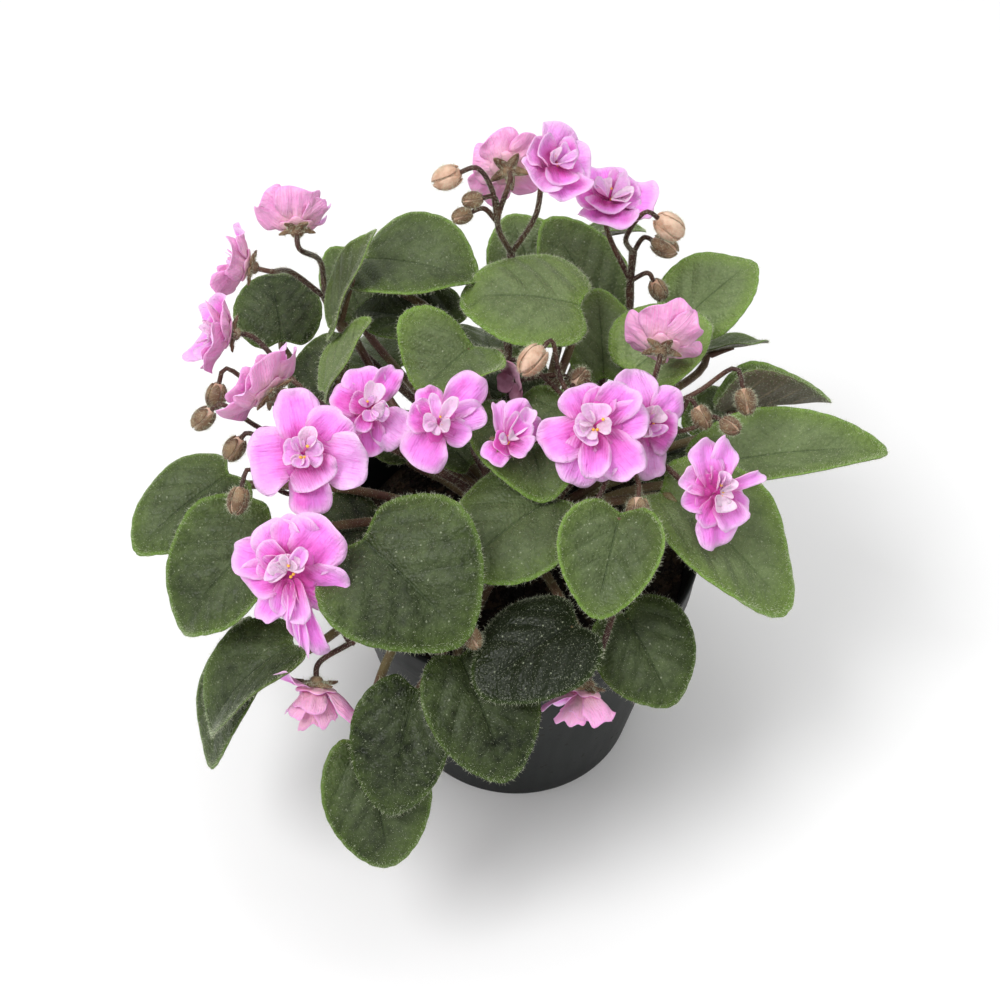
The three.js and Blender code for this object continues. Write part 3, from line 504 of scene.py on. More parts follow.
def leaf_stalk(shape, leaf):
    """A leaf's stalk, which thins into the midrib under the blade."""
    base, length, ahead, _, out = leaf_axes(leaf)
    line = smooth_line(leaf_stalk_points(leaf), STALK_STEPS)
    radii = LEAF_STALK * (1 + 0.25 * np.linspace(1, 0, STALK_STEPS) ** 3)
    shares = np.linspace(0.12, 0.5, 8)
    shares = shares[shares * length > STALK_RUN + 1]
    thin = np.linspace(LEAF_STALK * 0.8, 0.35, len(shares))
    deep = 0.9 * leaf.width / LEAF_WIDTH + 0.45 + thin
    rib = [base + ahead * s * length + out * (4 * leaf.arch * s * (1 - s) - d) for s, d in zip(shares, deep)]
    tube(shape, np.vstack([line, rib]), np.r_[radii, thin], sides=9, hairy=HAIRY_LEAF_STALK)


# ---- Flowers ----


def bloom_axes(at, face, spin):
    """A flower's axes: two across it, and the way it faces."""
    facing = unit(np.array(face, float))
    level = unit(np.cross((0, 0, 1), facing))
    turn = math.radians(spin)
    side = level * math.cos(turn) + np.cross(facing, level) * math.sin(turn)
    return np.array(at, float), side, np.cross(facing, side), facing


def set_in(axes, x, y, z):
    at, side, over, facing = axes
    return at + np.outer(x, side) + np.outer(y, over) + np.outer(z, facing)


def turned_in(axes, heading, size, x, y, z):
    """The places of points in a flower's axes, with x and y turned by the heading and then scaled."""
    right, up = math.cos(heading), math.sin(heading)
    return set_in(axes, size * (x * right - y * up), size * (x * up + y * right), z)


def whorl_petals(radius, cup, chance):
    """The petals of a flower that isn't listed, scattered round its whorls."""
    petals = []
    for level, (count, share, spread, steeper, wide, turn) in enumerate(WHORLS):
        for number in range(count):
            heading = 2 * math.pi * (number - turn) / count + chance.normal(0, 0.3 if level else 0.12)
            length = radius * (share + chance.normal(0, spread)) * (1 - 0.08 * math.sin(heading))
            tip = LEVELS[level][0] + cup * (length / radius) ** 2 + steeper * chance.uniform(0.4, 1.4)
            petals.append((math.degrees(heading), length, wide * chance.uniform(0.85, 1.15), tip, level))
    return petals


def petal(shape, axes, radius, number, spec, chance, thickness):
    """One rounded petal, creased along its middle, ruffled at its edge, and lying over its neighbour."""
    heading, length, wide, tip, level = spec
    lift, ruffle, curl = LEVELS[level]
    lift += 0.12 * number
    sectors = 28 if level else 44
    reach, angle, faces = polar(7 if level else 10, sectors)
    shifts = chance.uniform(0, 6.3, 6)
    outline = 1 + 0.04 * np.sin(2 * angle + shifts[0]) + 0.035 * np.sin(3 * angle + shifts[1])
    outline += 0.018 * np.sin(7 * angle + shifts[2])
    outline -= chance.uniform(0.0, 0.12) * bell(np.minimum(angle, 2 * math.pi - angle), 0.25)
    x = 0.56 + 0.44 * reach * np.cos(angle) * outline
    y = min(1.12 * wide, 0.8) * reach * np.sin(angle) * (1 + 0.18 * np.cos(angle)) * outline
    out = np.hypot(x, y)
    grown = length / 16
    height = lift + (tip - lift) * out**1.6
    # its twist, creases, curled sides, bent tip, and ruffles
    height += (0.12 + chance.normal(0, 0.1)) * length * y * eased(x, 0.1, 0.5)
    height -= 0.16 * length * bell(y, 0.10) * x * (1 - x)
    height += 0.02 * length * np.sin(19 * y + shifts[3]) * eased(x, 0.15, 0.4) * eased(x, 1.0, 0.75)
    height += 0.045 * length * np.sin(6 * x + shifts[3]) * np.sin(8 * y + shifts[5]) * eased(out, 0.15, 0.4)
    height += curl * chance.uniform(0.4, 1.6) * (reach * np.sin(angle)) ** 2
    height -= chance.uniform(-0.6, 2.2) * grown * np.maximum(out - 0.55, 0) ** 2 * 4
    ripple = np.sin(3 * angle + shifts[4]) * (0.6 + 0.4 * np.cos(angle))
    height += 1.4 * ruffle * grown * reach**3 * ripple
    height += 0.35 * ruffle * grown * reach**4 * np.sin(7 * angle + shifts[5])
    place = turned_in(axes, math.radians(heading), length, x, y, height)
    half = thickness / MM / 2 * (1 - 0.5 * reach**4)
    points, triangles = sheet(place, faces, sectors, half, half)
    # heart petals get 0.6 more, which whitens them: their own paler colour and a painted highlight
    shade = chance.uniform(0, 0.8) + 0.6 * (level == 2)
    seen = np.stack([out * length / radius + 0.42 * (level == 2), reach, np.full(len(x), shade)], 1)
    seen = np.vstack([seen, seen + [0, 0, 2]])
    shape.add(points, triangles, spots=np.tile(np.stack([x, y], 1), (2, 1)), looks=seen)


def ball(shape, axes, middle, radii, slot, sides=10, **extra):
    """A closed egg at a place in a flower's own axes, longest along its third radius."""
    steps = np.linspace(-math.pi / 2, math.pi / 2, 8)
    points, faces = lathe([(math.cos(s), math.sin(s)) for s in steps], sides)
    points = points * radii + middle
    shape.add(set_in(axes, *points.T), faces, slot=slot, **extra)


def bloom_petals(shape, bloom, index, thickness):
    """All of a flower's petals, the throat they grow from, and two anthers with the style."""
    axes = bloom_axes(bloom.place, bloom.facing, bloom.spin)
    radius = bloom.radius
    chance = np.random.default_rng(BLOOM_SEED + index)
    reach, angle, faces = polar(5, 40)
    out = 0.4 * reach * (1 + 0.12 * np.cos(5 * angle) * reach)
    deep = bloom.cup * out**2 - 0.15
    throat = set_in(axes, radius * out * np.cos(angle), radius * out * np.sin(angle), deep)
    points, triangles = sheet(throat, faces, 40, THROAT_HALF, THROAT_HALF)
    seen = np.stack([out, 0.5 * reach, 0 * reach], 1)
    shape.add(points, triangles, looks=np.vstack([seen, seen + [0, 0, 2]]))
    petals = LOBES.get(bloom.name) or whorl_petals(radius, bloom.cup, chance)
    if bloom.facing[2] > 0 and bloom.name in LOBES:
        headings = chance.uniform(-180, 180, HEART_PETALS)
        sizes = chance.uniform(0.2, 0.36, HEART_PETALS) * radius
        widths = chance.uniform(0.4, 0.65, HEART_PETALS)
        heart = zip(headings, sizes, widths)
        petals = petals + [(heading, size, wide, 2 + 0.55 * size, 2) for heading, size, wide in heart]
    for number, spec in enumerate(petals):
        petal(shape, axes, radius, number, spec, chance, thickness)
    grown = radius / BLOOM_RADIUS
    for side in (-1, 1):
        place = np.array([side * 0.45, -0.9, 2.7]) * grown
        ball(shape, axes, place, np.array([0.42, 0.38, 0.7]) * grown, 1, sides=8)
    bend = np.array([[0, 0, 0.2], [0.4, 0.6, 2.4], [1.6, 1.2, 4.6]]) * grown
    tube(shape, smooth_line(set_in(axes, *bend.T), 8), 0.3 * grown, sides=6, looks=(0.1, 0, 0.5))
    place = set_in(axes, *bend[2][:, None])[0]
    ball(shape, (place, *axes[1:]), np.zeros(3), np.full(3, 0.4 * grown), 1, sides=8)


# ---- Flower stalks, sepals and buds ----


def sepals(shape, axes, radius, cup):
    """Hairy lance-shaped sepals behind a flower's petals, and the small cup that they grow from."""
    behind = PETAL / 2 + GAP + 0.25
    reach, angle, faces = polar(SEPAL_RINGS, SEPAL_SECTORS)
    grown = min(radius / 12, 1.1)
    x = (3.1 + 2.9 * reach * np.cos(angle)) * grown
    y = 1.3 * grown * reach * np.sin(angle) * (1 - 0.45 * np.cos(angle))
    height = cup * (np.hypot(x, y) / radius) ** 2 - behind - 0.5 * bell(y, 0.5)
    height = height - 0.03 * x**2 * (x > 3.5)
    for number in range(SEPALS):
        place = turned_in(axes, 2 * math.pi * (number + 0.5) / SEPALS, 1, x, y, height)
        points, triangles = sheet(place, faces, SEPAL_SECTORS, SEPAL_HALF, SEPAL_HALF)
        shape.add(points, triangles, slot=1, hairy=HAIRY_SEPAL)
    ball(shape, axes, np.array([0, 0, -behind - 0.7]), np.array([1.9, 1.9, 1.3]), 1, hairy=HAIRY_SEPAL)


def bud(shape, line, radius, index):
    """A closed bud at the end of its thread: an egg in sepals that start at the thread's end."""
    facing = unit(line[-1] - line[-2])
    axes = bloom_axes(line[-1], facing, 72 * index)
    egg = radius * np.array([0.9, 0.9, 1.35])
    ball(shape, axes, np.array([0, 0, radius]), egg, 2, sides=12, hairy=HAIRY_BUD)
    reach, angle, faces = polar(SEPAL_RINGS, SEPAL_SECTORS)
    share = 0.5 - 0.5 * reach * np.cos(angle)
    down = (0.04 + 0.78 * (1 - share)) * math.pi
    around = radius * (0.98 * np.sin(down) + 0.02)
    height = radius * 2 - radius * (1 - 1.42 * np.cos(down))
    for number in range(SEPALS):
        swing = 0.54 * reach * np.sin(angle) * (1 + 0.35 * np.cos(angle)) + 2 * math.pi * number / SEPALS
        place = set_in(axes, around * np.cos(swing), around * np.sin(swing), height)
        points, triangles = sheet(place, faces, SEPAL_SECTORS, SEPAL_HALF, SEPAL_HALF)
        shape.add(points, triangles, slot=2 if radius > PALE_BUD else 1, hairy=HAIRY_SEPAL)


def withered(shape, line, radius):
    """A faded flower at the end of its thread, whose limp petals have folded together."""
    axes = bloom_axes(line[-1], (-6, -5, 4), 20)
    reach, angle, faces = polar(6, 24)
    for heading, length, tip in ((-60, 1.0, 0.2), (20, 0.8, 0.8), (110, 1.0, 0.5), (200, 0.75, 0.9)):
        x = (0.55 + 0.45 * reach * np.cos(angle)) * length
        y = 0.5 * reach * np.sin(angle)
        height = radius * (tip * x**2 + 0.6 * y**2 + 0.06 * np.sin(9 * y + heading) * reach)
        place = turned_in(axes, math.radians(heading), radius, x, y, height)
        points, triangles = sheet(place, faces, 24, WITHERED_HALF, WITHERED_HALF)
        shape.add(points, triangles, slot=3)


def thread(shape, points, thick, thin):
    """Adds a thin stalk along a smooth line through the points, and gives back that line."""
    line = smooth_line(points, STALK_STEPS)
    tube(shape, line, THREAD * np.linspace(thick, thin, STALK_STEPS), sides=8, hairy=HAIRY_STALK)
    return line


def bunch_shape(bunch):
    """A bunch's thick stalks, thin stalks, sepals and buds."""
    shape = Shape()
    for name, points in FLOWER_STALKS:
        if name == bunch:
            line = smooth_line(points, 40)
            thick = FLOWER_STALK * (1 + 0.08 * np.sin(np.arange(40)))
            tube(shape, line, thick, sides=10, hairy=HAIRY_STALK)
    if bunch in KNOBS:
        axes = bloom_axes(KNOBS[bunch], (0, 1, 8), 0)
        ball(shape, axes, np.zeros(3), np.full(3, KNOB), 0, hairy=HAIRY_STALK)
    for bloom in BLOOMS:
        if bloom.bunch == bunch:
            axes = bloom_axes(bloom.place, bloom.facing, bloom.spin)
            ends = set_in(axes, np.zeros(2), np.zeros(2), np.array([-6, -PETAL / 2 - GAP - 0.3]))
            thread(shape, [*bloom.stem, *ends], 1.1, 0.95)
            sepals(shape, axes, bloom.radius, bloom.cup)
    for index, (name, radius, stem) in enumerate(BUDS):
        if name == bunch:
            bud(shape, thread(shape, stem, 1, 0.85), radius, index)
    if bunch == WITHERED[0]:
        withered(shape, thread(shape, WITHERED[2], 1, 1), WITHERED[1])
    return shape


def crown_shape(leaves):
    """The short thick stem in the middle, with the stalks of all the leaves, and the young leaves."""
    shape = Shape()
    radius = CROWN_RADIUS
    profile = [(0, CROWN_FOOT), (radius * 0.6, CROWN_FOOT), (radius * 0.85, CROWN_FOOT + 3)]
    profile += [(radius, SOIL_TOP - 4), (radius * 1.05, SOIL_TOP + 4), (radius, SOIL_TOP + 8)]
    profile += [(radius * 0.85, CROWN_TOP - 6), (radius * 0.5, CROWN_TOP - 1.5), (0, CROWN_TOP)]
    points, faces = lathe(profile, 32)
    bumps = 0.25 * np.sin(7 * np.arctan2(points[:, 1], points[:, 0]) + points[:, 2] * 0.8)
    shape.add(points * (1 + bumps[:, None] * [0.1, 0.1, 0]), faces, hairy=HAIRY_CROWN)
    for leaf in (*LEAVES, *YOUNG_LEAVES):
        leaf_stalk(shape, leaf)
    for index, leaf in enumerate(YOUNG_LEAVES, YOUNG_INDEX):
        leaf_blade(shape, leaf, index, YOUNG_BLADE, leaves, 1)
    return shape


# ---- Pot and potting mix ----


def pot_profile():
    """The pot's wall and lip, from the middle of the underside round to the middle of the floor."""
    rim, top, base = RIM_RADIUS, POT_HEIGHT, BASE_RADIUS
    wall_top, lip_bottom = rim - LIP_STEP, top - LIP_HEIGHT
    slope = (wall_top - base) / (lip_bottom - 1.5)
    outer = [(base + slope * z, 1.5 + z) for z in np.linspace(0, lip_bottom - 1.5, 14)]
    lip = [(wall_top + 0.3, lip_bottom - 0.1), (rim - 1.1, lip_bottom), (rim - 0.8, lip_bottom + 0.3)]
    lip += [(rim - 0.6, lip_bottom + 4), (rim - 0.25, top - 4), (rim, top - 1.7), (rim, top - 0.8)]
    lip += [(rim - 0.3, top - 0.2), (rim - 0.8, top)]
    lip += [(rim - POT_WALL + 0.3, top - 0.1), (rim - POT_WALL, top - 0.6)]
    inner = [(radius - POT_WALL, z) for radius, z in reversed(outer)]
    foot = [(0, 0.4), (base - 6, 0.4), (base - 5, 0), (base - 1, 0), (base - 0.2, 0.5)]
    floor = [(base - POT_WALL - 0.6, POT_FLOOR), (0, POT_FLOOR)]
    return [*foot, *outer, *lip, *inner[:-1], *floor]


def drilled(made, cutter):
    """The object's mesh with the cutter taken away, and the cutter gone."""
    cut = made.modifiers.new("drain_holes", "BOOLEAN")
    cut.operation, cut.solver, cut.object = "DIFFERENCE", "EXACT", cutter
    keep_result(made, made)
    bpy.data.objects.remove(cutter)


def keep_result(source, target):
    """Gives the target the source's mesh as its modifiers leave it, and takes the modifiers off."""
    seen = source.evaluated_get(bpy.context.evaluated_depsgraph_get())
    mesh = bpy.data.meshes.new_from_object(seen)
    source.modifiers.clear()
    target.data = mesh


def soil_shape(grain):
    """The plug of potting mix, with an uneven top round the crown's hole."""
    inner = RIM_RADIUS - LIP_STEP - POT_WALL - GAP
    bottom = BASE_RADIUS - POT_WALL - GAP
    foot = POT_FLOOR + GAP
    profile = [(0, foot), (bottom, foot)]
    profile += [(bottom + (inner - bottom) * s, foot + (SOIL_TOP - foot) * s) for s in (0.5, 1)]
    for radius in np.linspace(inner, SOIL_HOLE, 24)[1:]:
        profile.append((radius, SOIL_TOP + SOIL_MOUND * eased(radius, inner, inner * 0.6)))
    deep = CROWN_FOOT - GAP
    profile += [(SOIL_HOLE, SOIL_TOP + SOIL_MOUND - 3), (SOIL_HOLE, deep), (0, deep)]
    points, faces = lathe(profile, SOIL_SIDES)
    chance = np.random.default_rng(SOIL_SEED)
    on_top = (points[:, 2] > SOIL_TOP - 0.1) & (np.hypot(points[:, 0], points[:, 1]) < inner - 0.5)
    points[on_top, 2] += chance.normal(0, grain, on_top.sum())
    shape = Shape()
    shape.add(points, faces, hairy=np.where(on_top, 1.0, 0.0))
    return shape


# ---- Finishes ----


class Nodes:
    """A node tree under construction, with short calls for the nodes that the trees share."""

    def node(self, kind, inputs, output=0, **settings):
        made = self.tree.nodes.new(kind)
        for key, value in settings.items():
            setattr(made, key, value)
        for key, value in inputs.items():
            self.put(made.inputs[key], value)
        return made.outputs[output]

    def put(self, socket, value):
        if isinstance(value, bpy.types.NodeSocket):
            self.tree.links.new(value, socket)
        else:
            socket.default_value = value

    def math(self, operation, first, second=0.0):
        return self.node("ShaderNodeMath", {0: first, 1: second}, operation=operation)

    def times(self, first, second):
        return self.math("MULTIPLY", first, second)

    def parts(self, vector):
        return self.node("ShaderNodeSeparateXYZ", {0: vector}).node.outputs


class Finish(Nodes):
    """A material under construction."""

    def __init__(self, name, **sockets):
        self.material = bpy.data.materials.new(name)
        self.material.use_nodes = True
        self.tree = self.material.node_tree
        self.shader = self.tree.nodes["Principled BSDF"]
        for socket, value in sockets.items():
            self.shader.inputs[socket.replace("_", " ")].default_value = value

    def swing(self, value, middle, size):
        """How far the value is from the middle, times the size."""
        return self.times(self.math("SUBTRACT", value, middle), size)

    def between(self, value, low, high, first=0.0, last=1.0):
        """A smooth step from first to last while the value goes from low to high."""
        inputs = {"Value": value, "From Min": low, "From Max": high, "To Min": first, "To Max": last}
        return self.node("ShaderNodeMapRange", inputs, interpolation_type="SMOOTHSTEP")

    def mix(self, share, first, second, **settings):
        first, second = (v if isinstance(v, bpy.types.NodeSocket) else (*v[:3], 1) for v in (first, second))
        return self.node("ShaderNodeMix", {0: share, 6: first, 7: second}, 2, data_type="RGBA", **settings)

    def tinted(self, share, colour, tint):
        return self.mix(share, colour, tint, blend_type="MULTIPLY")

    def noise(self, where, scale, detail=3.0):
        return self.node("ShaderNodeTexNoise", {"Vector": where, "Scale": scale, "Detail": detail})

    def cells(self, where, scale, output="Distance", **settings):
        return self.node("ShaderNodeTexVoronoi", {"Vector": where, "Scale": scale}, output, **settings)

    def place(self, stretch=(1, 1, 1)):
        """Object coordinates, stretched along each axis."""
        where = self.node("ShaderNodeTexCoord", {}, "Object")
        return self.node("ShaderNodeMapping", {"Vector": where, "Scale": stretch})

    def spots(self, stretch=(1, 1, 1)):
        """The piece's own flat map, stretched along each axis."""
        where = self.node("ShaderNodeUVMap", {}, uv_map="spots")
        return self.node("ShaderNodeMapping", {"Vector": where, "Scale": stretch})

    def looks(self):
        """The three values that each point of the mesh carries for its finish."""
        return self.parts(self.node("ShaderNodeAttribute", {}, "Vector", attribute_name="looks"))

    def done(self, colour, roughness, *bumps):
        """Links the colour and roughness, and one bump after another: (height, depth in metres)."""
        self.put(self.shader.inputs["Base Color"], colour)
        self.put(self.shader.inputs["Roughness"], roughness)
        normal = None
        for height, depth in bumps:
            inputs = {"Strength": 1.0, "Distance": depth, "Height": height}
            if normal:
                inputs["Normal"] = normal
            normal = self.node("ShaderNodeBump", inputs)
        if normal:
            self.put(self.shader.inputs["Normal"], normal)
        return self.material


def leaf_finish(looks):
    """Dark velvety green between sunken veins, with a paler margin and a greyer, redder underside; painted
    shade darkens the veins and the spaces between the pebbles, and painted glints lighten it.
    """
    leaf = Finish("violet_leaf", Sheen_Weight=0.04, Sheen_Roughness=0.4, Specular_IOR_Level=0.22)
    leaf.shader.inputs["Sheen Tint"].default_value = (0.80, 0.92, 0.72, 1)
    pale, reach, under = leaf.looks()
    x, y, _ = leaf.parts(leaf.spots())
    off = leaf.math("ABSOLUTE", y)
    phase = leaf.math("SUBTRACT", x, leaf.times(off, VEIN_LEAN))
    phase = leaf.math("SUBTRACT", phase, leaf.times(leaf.times(y, y), VEIN_CURVE))
    away = leaf.math("PINGPONG", leaf.math("DIVIDE", phase, VEIN_STEP), 0.5)
    side_vein = leaf.times(leaf.between(away, 0.02, 0.10, 1, 0), leaf.between(reach, 0.6, 1.0, 1, 0))
    side_vein = leaf.times(side_vein, leaf.between(off, 0.02, 0.1))
    midrib = leaf.times(leaf.between(off, 0.006, 0.035, 1, 0), leaf.between(x, 0.3, 1.05, 1, 0))
    where = leaf.place()
    broad = leaf.noise(where, 55, 2)
    fine = leaf.noise(where, 420, 4)
    # shade: each leaf's paleness, which on the low leaves is partly painted shade, clouded by broad and fine
    # noise
    shade = leaf.math("ADD", pale, leaf.swing(broad, 0.45, 0.36))
    shade = leaf.math("ADD", shade, leaf.swing(fine, 0.5, 0.3))
    colour = leaf.mix(shade, looks.deep, looks.pale)
    colour = leaf.tinted(leaf.between(reach, 0.55, 0.98, 0, 0.85), colour, (0.92, 1.06, 0.5))
    edge = leaf.times(leaf.between(reach, 0.91, 1.0), leaf.between(pale, 0.02, 0.3, 0.1, 0.85))
    colour = leaf.mix(edge, colour, looks.margin)
    # painted shade: the sunken midrib and side veins are darkened, as shade falls in their grooves
    lines = leaf.math("MAXIMUM", leaf.times(side_vein, 0.24), leaf.times(midrib, 0.7))
    dark = leaf.tinted(1.0, colour, (0.55, 0.62, 0.55))
    colour = leaf.mix(lines, colour, dark)
    # painted highlights as sparse bright glints, then the fine down, which is thickest on the darkest leaves
    glint = leaf.times(leaf.between(leaf.cells(where, 420), 0.07, 0.14, 1, 0), 0.5)
    colour = leaf.mix(glint, colour, (0.42, 0.46, 0.32))
    down = leaf.between(leaf.cells(where, 1500), 0.10, 0.34, 1, 0)
    down = leaf.times(down, leaf.between(pale, -0.1, 0.2, 0.55, 0.25))
    colour = leaf.mix(down, colour, (0.17, 0.19, 0.13))
    beneath = leaf.mix(broad, looks.beneath, (0.13, 0.075, 0.06))
    beneath = leaf.mix(leaf.math("MAXIMUM", side_vein, midrib), beneath, (0.20, 0.16, 0.10))
    colour = leaf.mix(under, colour, beneath)
    pebbles = leaf.cells(where, 1400, feature="SMOOTH_F1")
    # painted shade: darker between the pebbles of the surface
    colour = leaf.mix(leaf.between(pebbles, 0.25, 0.7, 0, 0.4), colour, dark)
    veins = leaf.math("SUBTRACT", 1.0, lines)
    rough = leaf.math("ADD", leaf.between(fine, 0.3, 0.7, 0, 0.14), leaf.between(pale, 0.0, 0.14, 0.34, 0.4))
    swells = leaf.noise(where, 170, 3)
    return leaf.done(colour, rough, (pebbles, 0.0003), (veins, 0.0003), (swells, 0.0007))


def petal_finish(looks):
    """Pink petals, magenta at the throat and deepened there by painted shade, pale towards the edge and
    warmer behind, with fine streaks, and heart petals paler and whitened further by a painted highlight.
    """
    bloom = Finish("violet_petal", Subsurface_Weight=0.25, Subsurface_Scale=0.0015, Sheen_Weight=0.2)
    bloom.shader.inputs["Subsurface Radius"].default_value = (1.0, 0.45, 0.8)
    out, reach, marked = bloom.looks()
    # the points of a petal's underside have 2 added to their shade
    behind = bloom.math("GREATER_THAN", marked, 1.6)
    shade = bloom.math("SUBTRACT", marked, bloom.times(behind, 2.0))
    streaks = bloom.noise(bloom.spots((1.3, 15, 1)), 2.2, 3)
    fine = bloom.noise(bloom.place(), 1500, 2)
    mottle = bloom.noise(bloom.place(), 150, 3)
    body = bloom.mix(bloom.between(mottle, 0.3, 0.7), looks.deep, looks.body)
    body = bloom.mix(bloom.between(shade, 0.0, 0.5), body, looks.body)
    body = bloom.mix(bloom.between(shade, 0.35, 1.2, 0, 0.8), body, looks.pale)
    colour = bloom.mix(bloom.between(reach, 0.55, 1.0, 0, 0.7), body, looks.pale)
    warped = bloom.math("ADD", out, bloom.swing(streaks, 0.5, 0.5))
    # magenta at the throat: the petals' own colour, deepened as painted shade where they overlap at their
    # bases
    colour = bloom.mix(bloom.between(warped, 0.16, 0.7, 0.95, 0), colour, looks.throat)
    lines = bloom.times(bloom.between(streaks, 0.5, 0.68), bloom.between(reach, 0.5, 0.95, 0.42, 0))
    colour = bloom.mix(lines, colour, looks.deep)
    beneath = bloom.mix(bloom.between(streaks, 0.35, 0.65), (1.0, 0.36, 0.66), (1.0, 0.50, 0.76))
    beneath = bloom.mix(bloom.between(warped, 0.2, 0.8, 0.8, 0), beneath, (1.0, 0.60, 0.62))
    beneath = bloom.mix(bloom.between(reach, 0.85, 1.0, 0, 0.6), beneath, (1.0, 0.32, 0.76))
    colour = bloom.mix(bloom.times(behind, 0.85), colour, beneath)
    # heart petals whiter: their own paler colour, whitened further as a painted highlight
    colour = bloom.mix(bloom.between(shade, 0.75, 1.2, 0, 0.75), colour, (1.0, 0.74, 0.90))
    crinkles = bloom.noise(bloom.place(), 420, 3)
    rough = bloom.between(fine, 0.3, 0.7, 0.42, 0.6)
    return bloom.done(colour, rough, (streaks, 0.0004), (crinkles, 0.0007), (fine, 0.00003))


def anther_finish(looks):
    anther = Finish("violet_anther", Sheen_Weight=0.1)
    where = anther.place()
    grain = anther.noise(where, 2200, 2)
    colour = anther.mix(anther.noise(where, 500), looks.anther, (0.95, 0.62, 0.10))
    return anther.done(colour, anther.between(grain, 0.3, 0.7, 0.55, 0.75), (grain, 0.00008))


def stalk_finish(name, dark, light, scale, rough=(0.42, 0.6)):
    """A fleshy stalk, sepal or bud: a dark colour that clouds into a lighter one."""
    stalk = Finish(name, Sheen_Weight=0.08, Sheen_Roughness=0.4, Specular_IOR_Level=0.35)
    where = stalk.place()
    cloud = stalk.noise(where, scale, 3)
    fine = stalk.noise(where, 1800, 3)
    colour = stalk.mix(stalk.between(cloud, 0.35, 0.7), dark, light)
    colour = stalk.mix(stalk.between(fine, 0.55, 0.8, 0, 0.4), colour, light)
    return stalk.done(colour, stalk.between(fine, 0.3, 0.7, *rough), (cloud, 0.0002), (fine, 0.00008))


def hair_finish(name, colour):
    hair = Finish(name, Roughness=0.35, Specular_IOR_Level=0.6, Base_Color=(*colour[:3], 1))
    return hair.material


def pot_finish(looks):
    """Charcoal moulded plastic: a fine tooth, drawn marks up the wall, and dried splashes."""
    pot = Finish("moulded_plastic", Specular_IOR_Level=0.12)
    where = pot.place()
    tooth = pot.noise(where, 3200, 2)
    drawn = pot.noise(pot.place((1, 1, 0.08)), 260, 3)
    cloud = pot.noise(where, 32, 4)
    speck = pot.cells(where, 240)
    splash = pot.times(pot.between(speck, 0.10, 0.20, 1, 0), pot.between(cloud, 0.52, 0.66))
    light = pot.tinted(1.0, looks.plastic, (1.9, 1.9, 1.85))
    colour = pot.mix(pot.between(cloud, 0.35, 0.75, 0, 0.5), looks.plastic, light)
    colour = pot.mix(pot.times(splash, 0.35), colour, (0.075, 0.068, 0.055))
    rough = pot.math("ADD", pot.between(drawn, 0.3, 0.7, 0.46, 0.5), pot.times(splash, 0.3))
    return pot.done(colour, rough, (drawn, 0.00001), (tooth, 0.00003))


def soil_finish(looks):
    """Damp dark peat with lighter fibres and crumbs."""
    soil = Finish("potting_mix", Specular_IOR_Level=0.25)
    where = soil.place()
    grain = soil.noise(where, 900, 5)
    lump = soil.cells(where, 420, "Color")
    share = soil.parts(lump)[0]
    colour = soil.mix(soil.between(share, 0.2, 1.0), looks.soil, (0.055, 0.036, 0.021))
    colour = soil.mix(soil.between(grain, 0.62, 0.78, 0, 0.6), colour, (0.12, 0.085, 0.05))
    return soil.done(colour, soil.between(grain, 0.3, 0.7, 0.75, 0.95), (grain, 0.0006))


# ---- Hairs and crumbs, by Geometry Nodes ----


class Tree(Nodes):
    """A Geometry Nodes tree under construction, whose named inputs hold its sizes."""

    def __init__(self, name, **inputs):
        self.tree = bpy.data.node_groups.new(name, "GeometryNodeTree")
        sockets = self.tree.interface
        sockets.new_socket("Geometry", in_out="OUTPUT", socket_type="NodeSocketGeometry")
        for label, kind in {"Surface": "Geometry", **inputs, "Finish": "Material"}.items():
            sockets.new_socket(label, in_out="INPUT", socket_type="NodeSocket" + kind)
        self.given = self.tree.nodes.new("NodeGroupInput").outputs

    def chance(self, low, high, kind="FLOAT_VECTOR", seed=0):
        """A random value for each instance: a vector, or a number."""
        slots = {"FLOAT_VECTOR": (0, 1, 0), "FLOAT": (2, 3, 1)}[kind]
        inputs = {slots[0]: low, slots[1]: high, "Seed": seed}
        return self.node("FunctionNodeRandomValue", inputs, slots[2], data_type=kind)

    def mark(self):
        """How hairy or crumbly the surface is at each point."""
        return self.node("GeometryNodeInputNamedAttribute", {"Name": "hairy"}, data_type="FLOAT")

    def scatter(self):
        """Points on the surface, as dense as its own mark says, and how each one stands."""
        dense = self.times(self.mark(), self.given["Density"])
        inputs = {"Mesh": self.given["Surface"], "Density": dense, "Seed": self.given["Seed"]}
        points = self.node("GeometryNodeDistributePointsOnFaces", inputs, "Points")
        points.node.distribute_method = "RANDOM"
        return points, points.node.outputs["Rotation"]

    def repeat(self, points, instance, rotation, scale):
        """Puts the instance on every point, as the tree's result."""
        inputs = {"Points": points, "Instance": instance, "Rotation": rotation, "Scale": scale}
        return self.finish(self.node("GeometryNodeInstanceOnPoints", inputs))

    def finish(self, made):
        """Makes what was built plain mesh in its material, as the tree's result."""
        plain = self.node("GeometryNodeRealizeInstances", {"Geometry": made})
        inputs = {"Geometry": plain, "Material": self.given["Finish"]}
        result = self.node("GeometryNodeSetMaterial", inputs)
        end = self.tree.nodes.new("NodeGroupOutput")
        self.tree.links.new(result, end.inputs["Geometry"])
        return self.tree


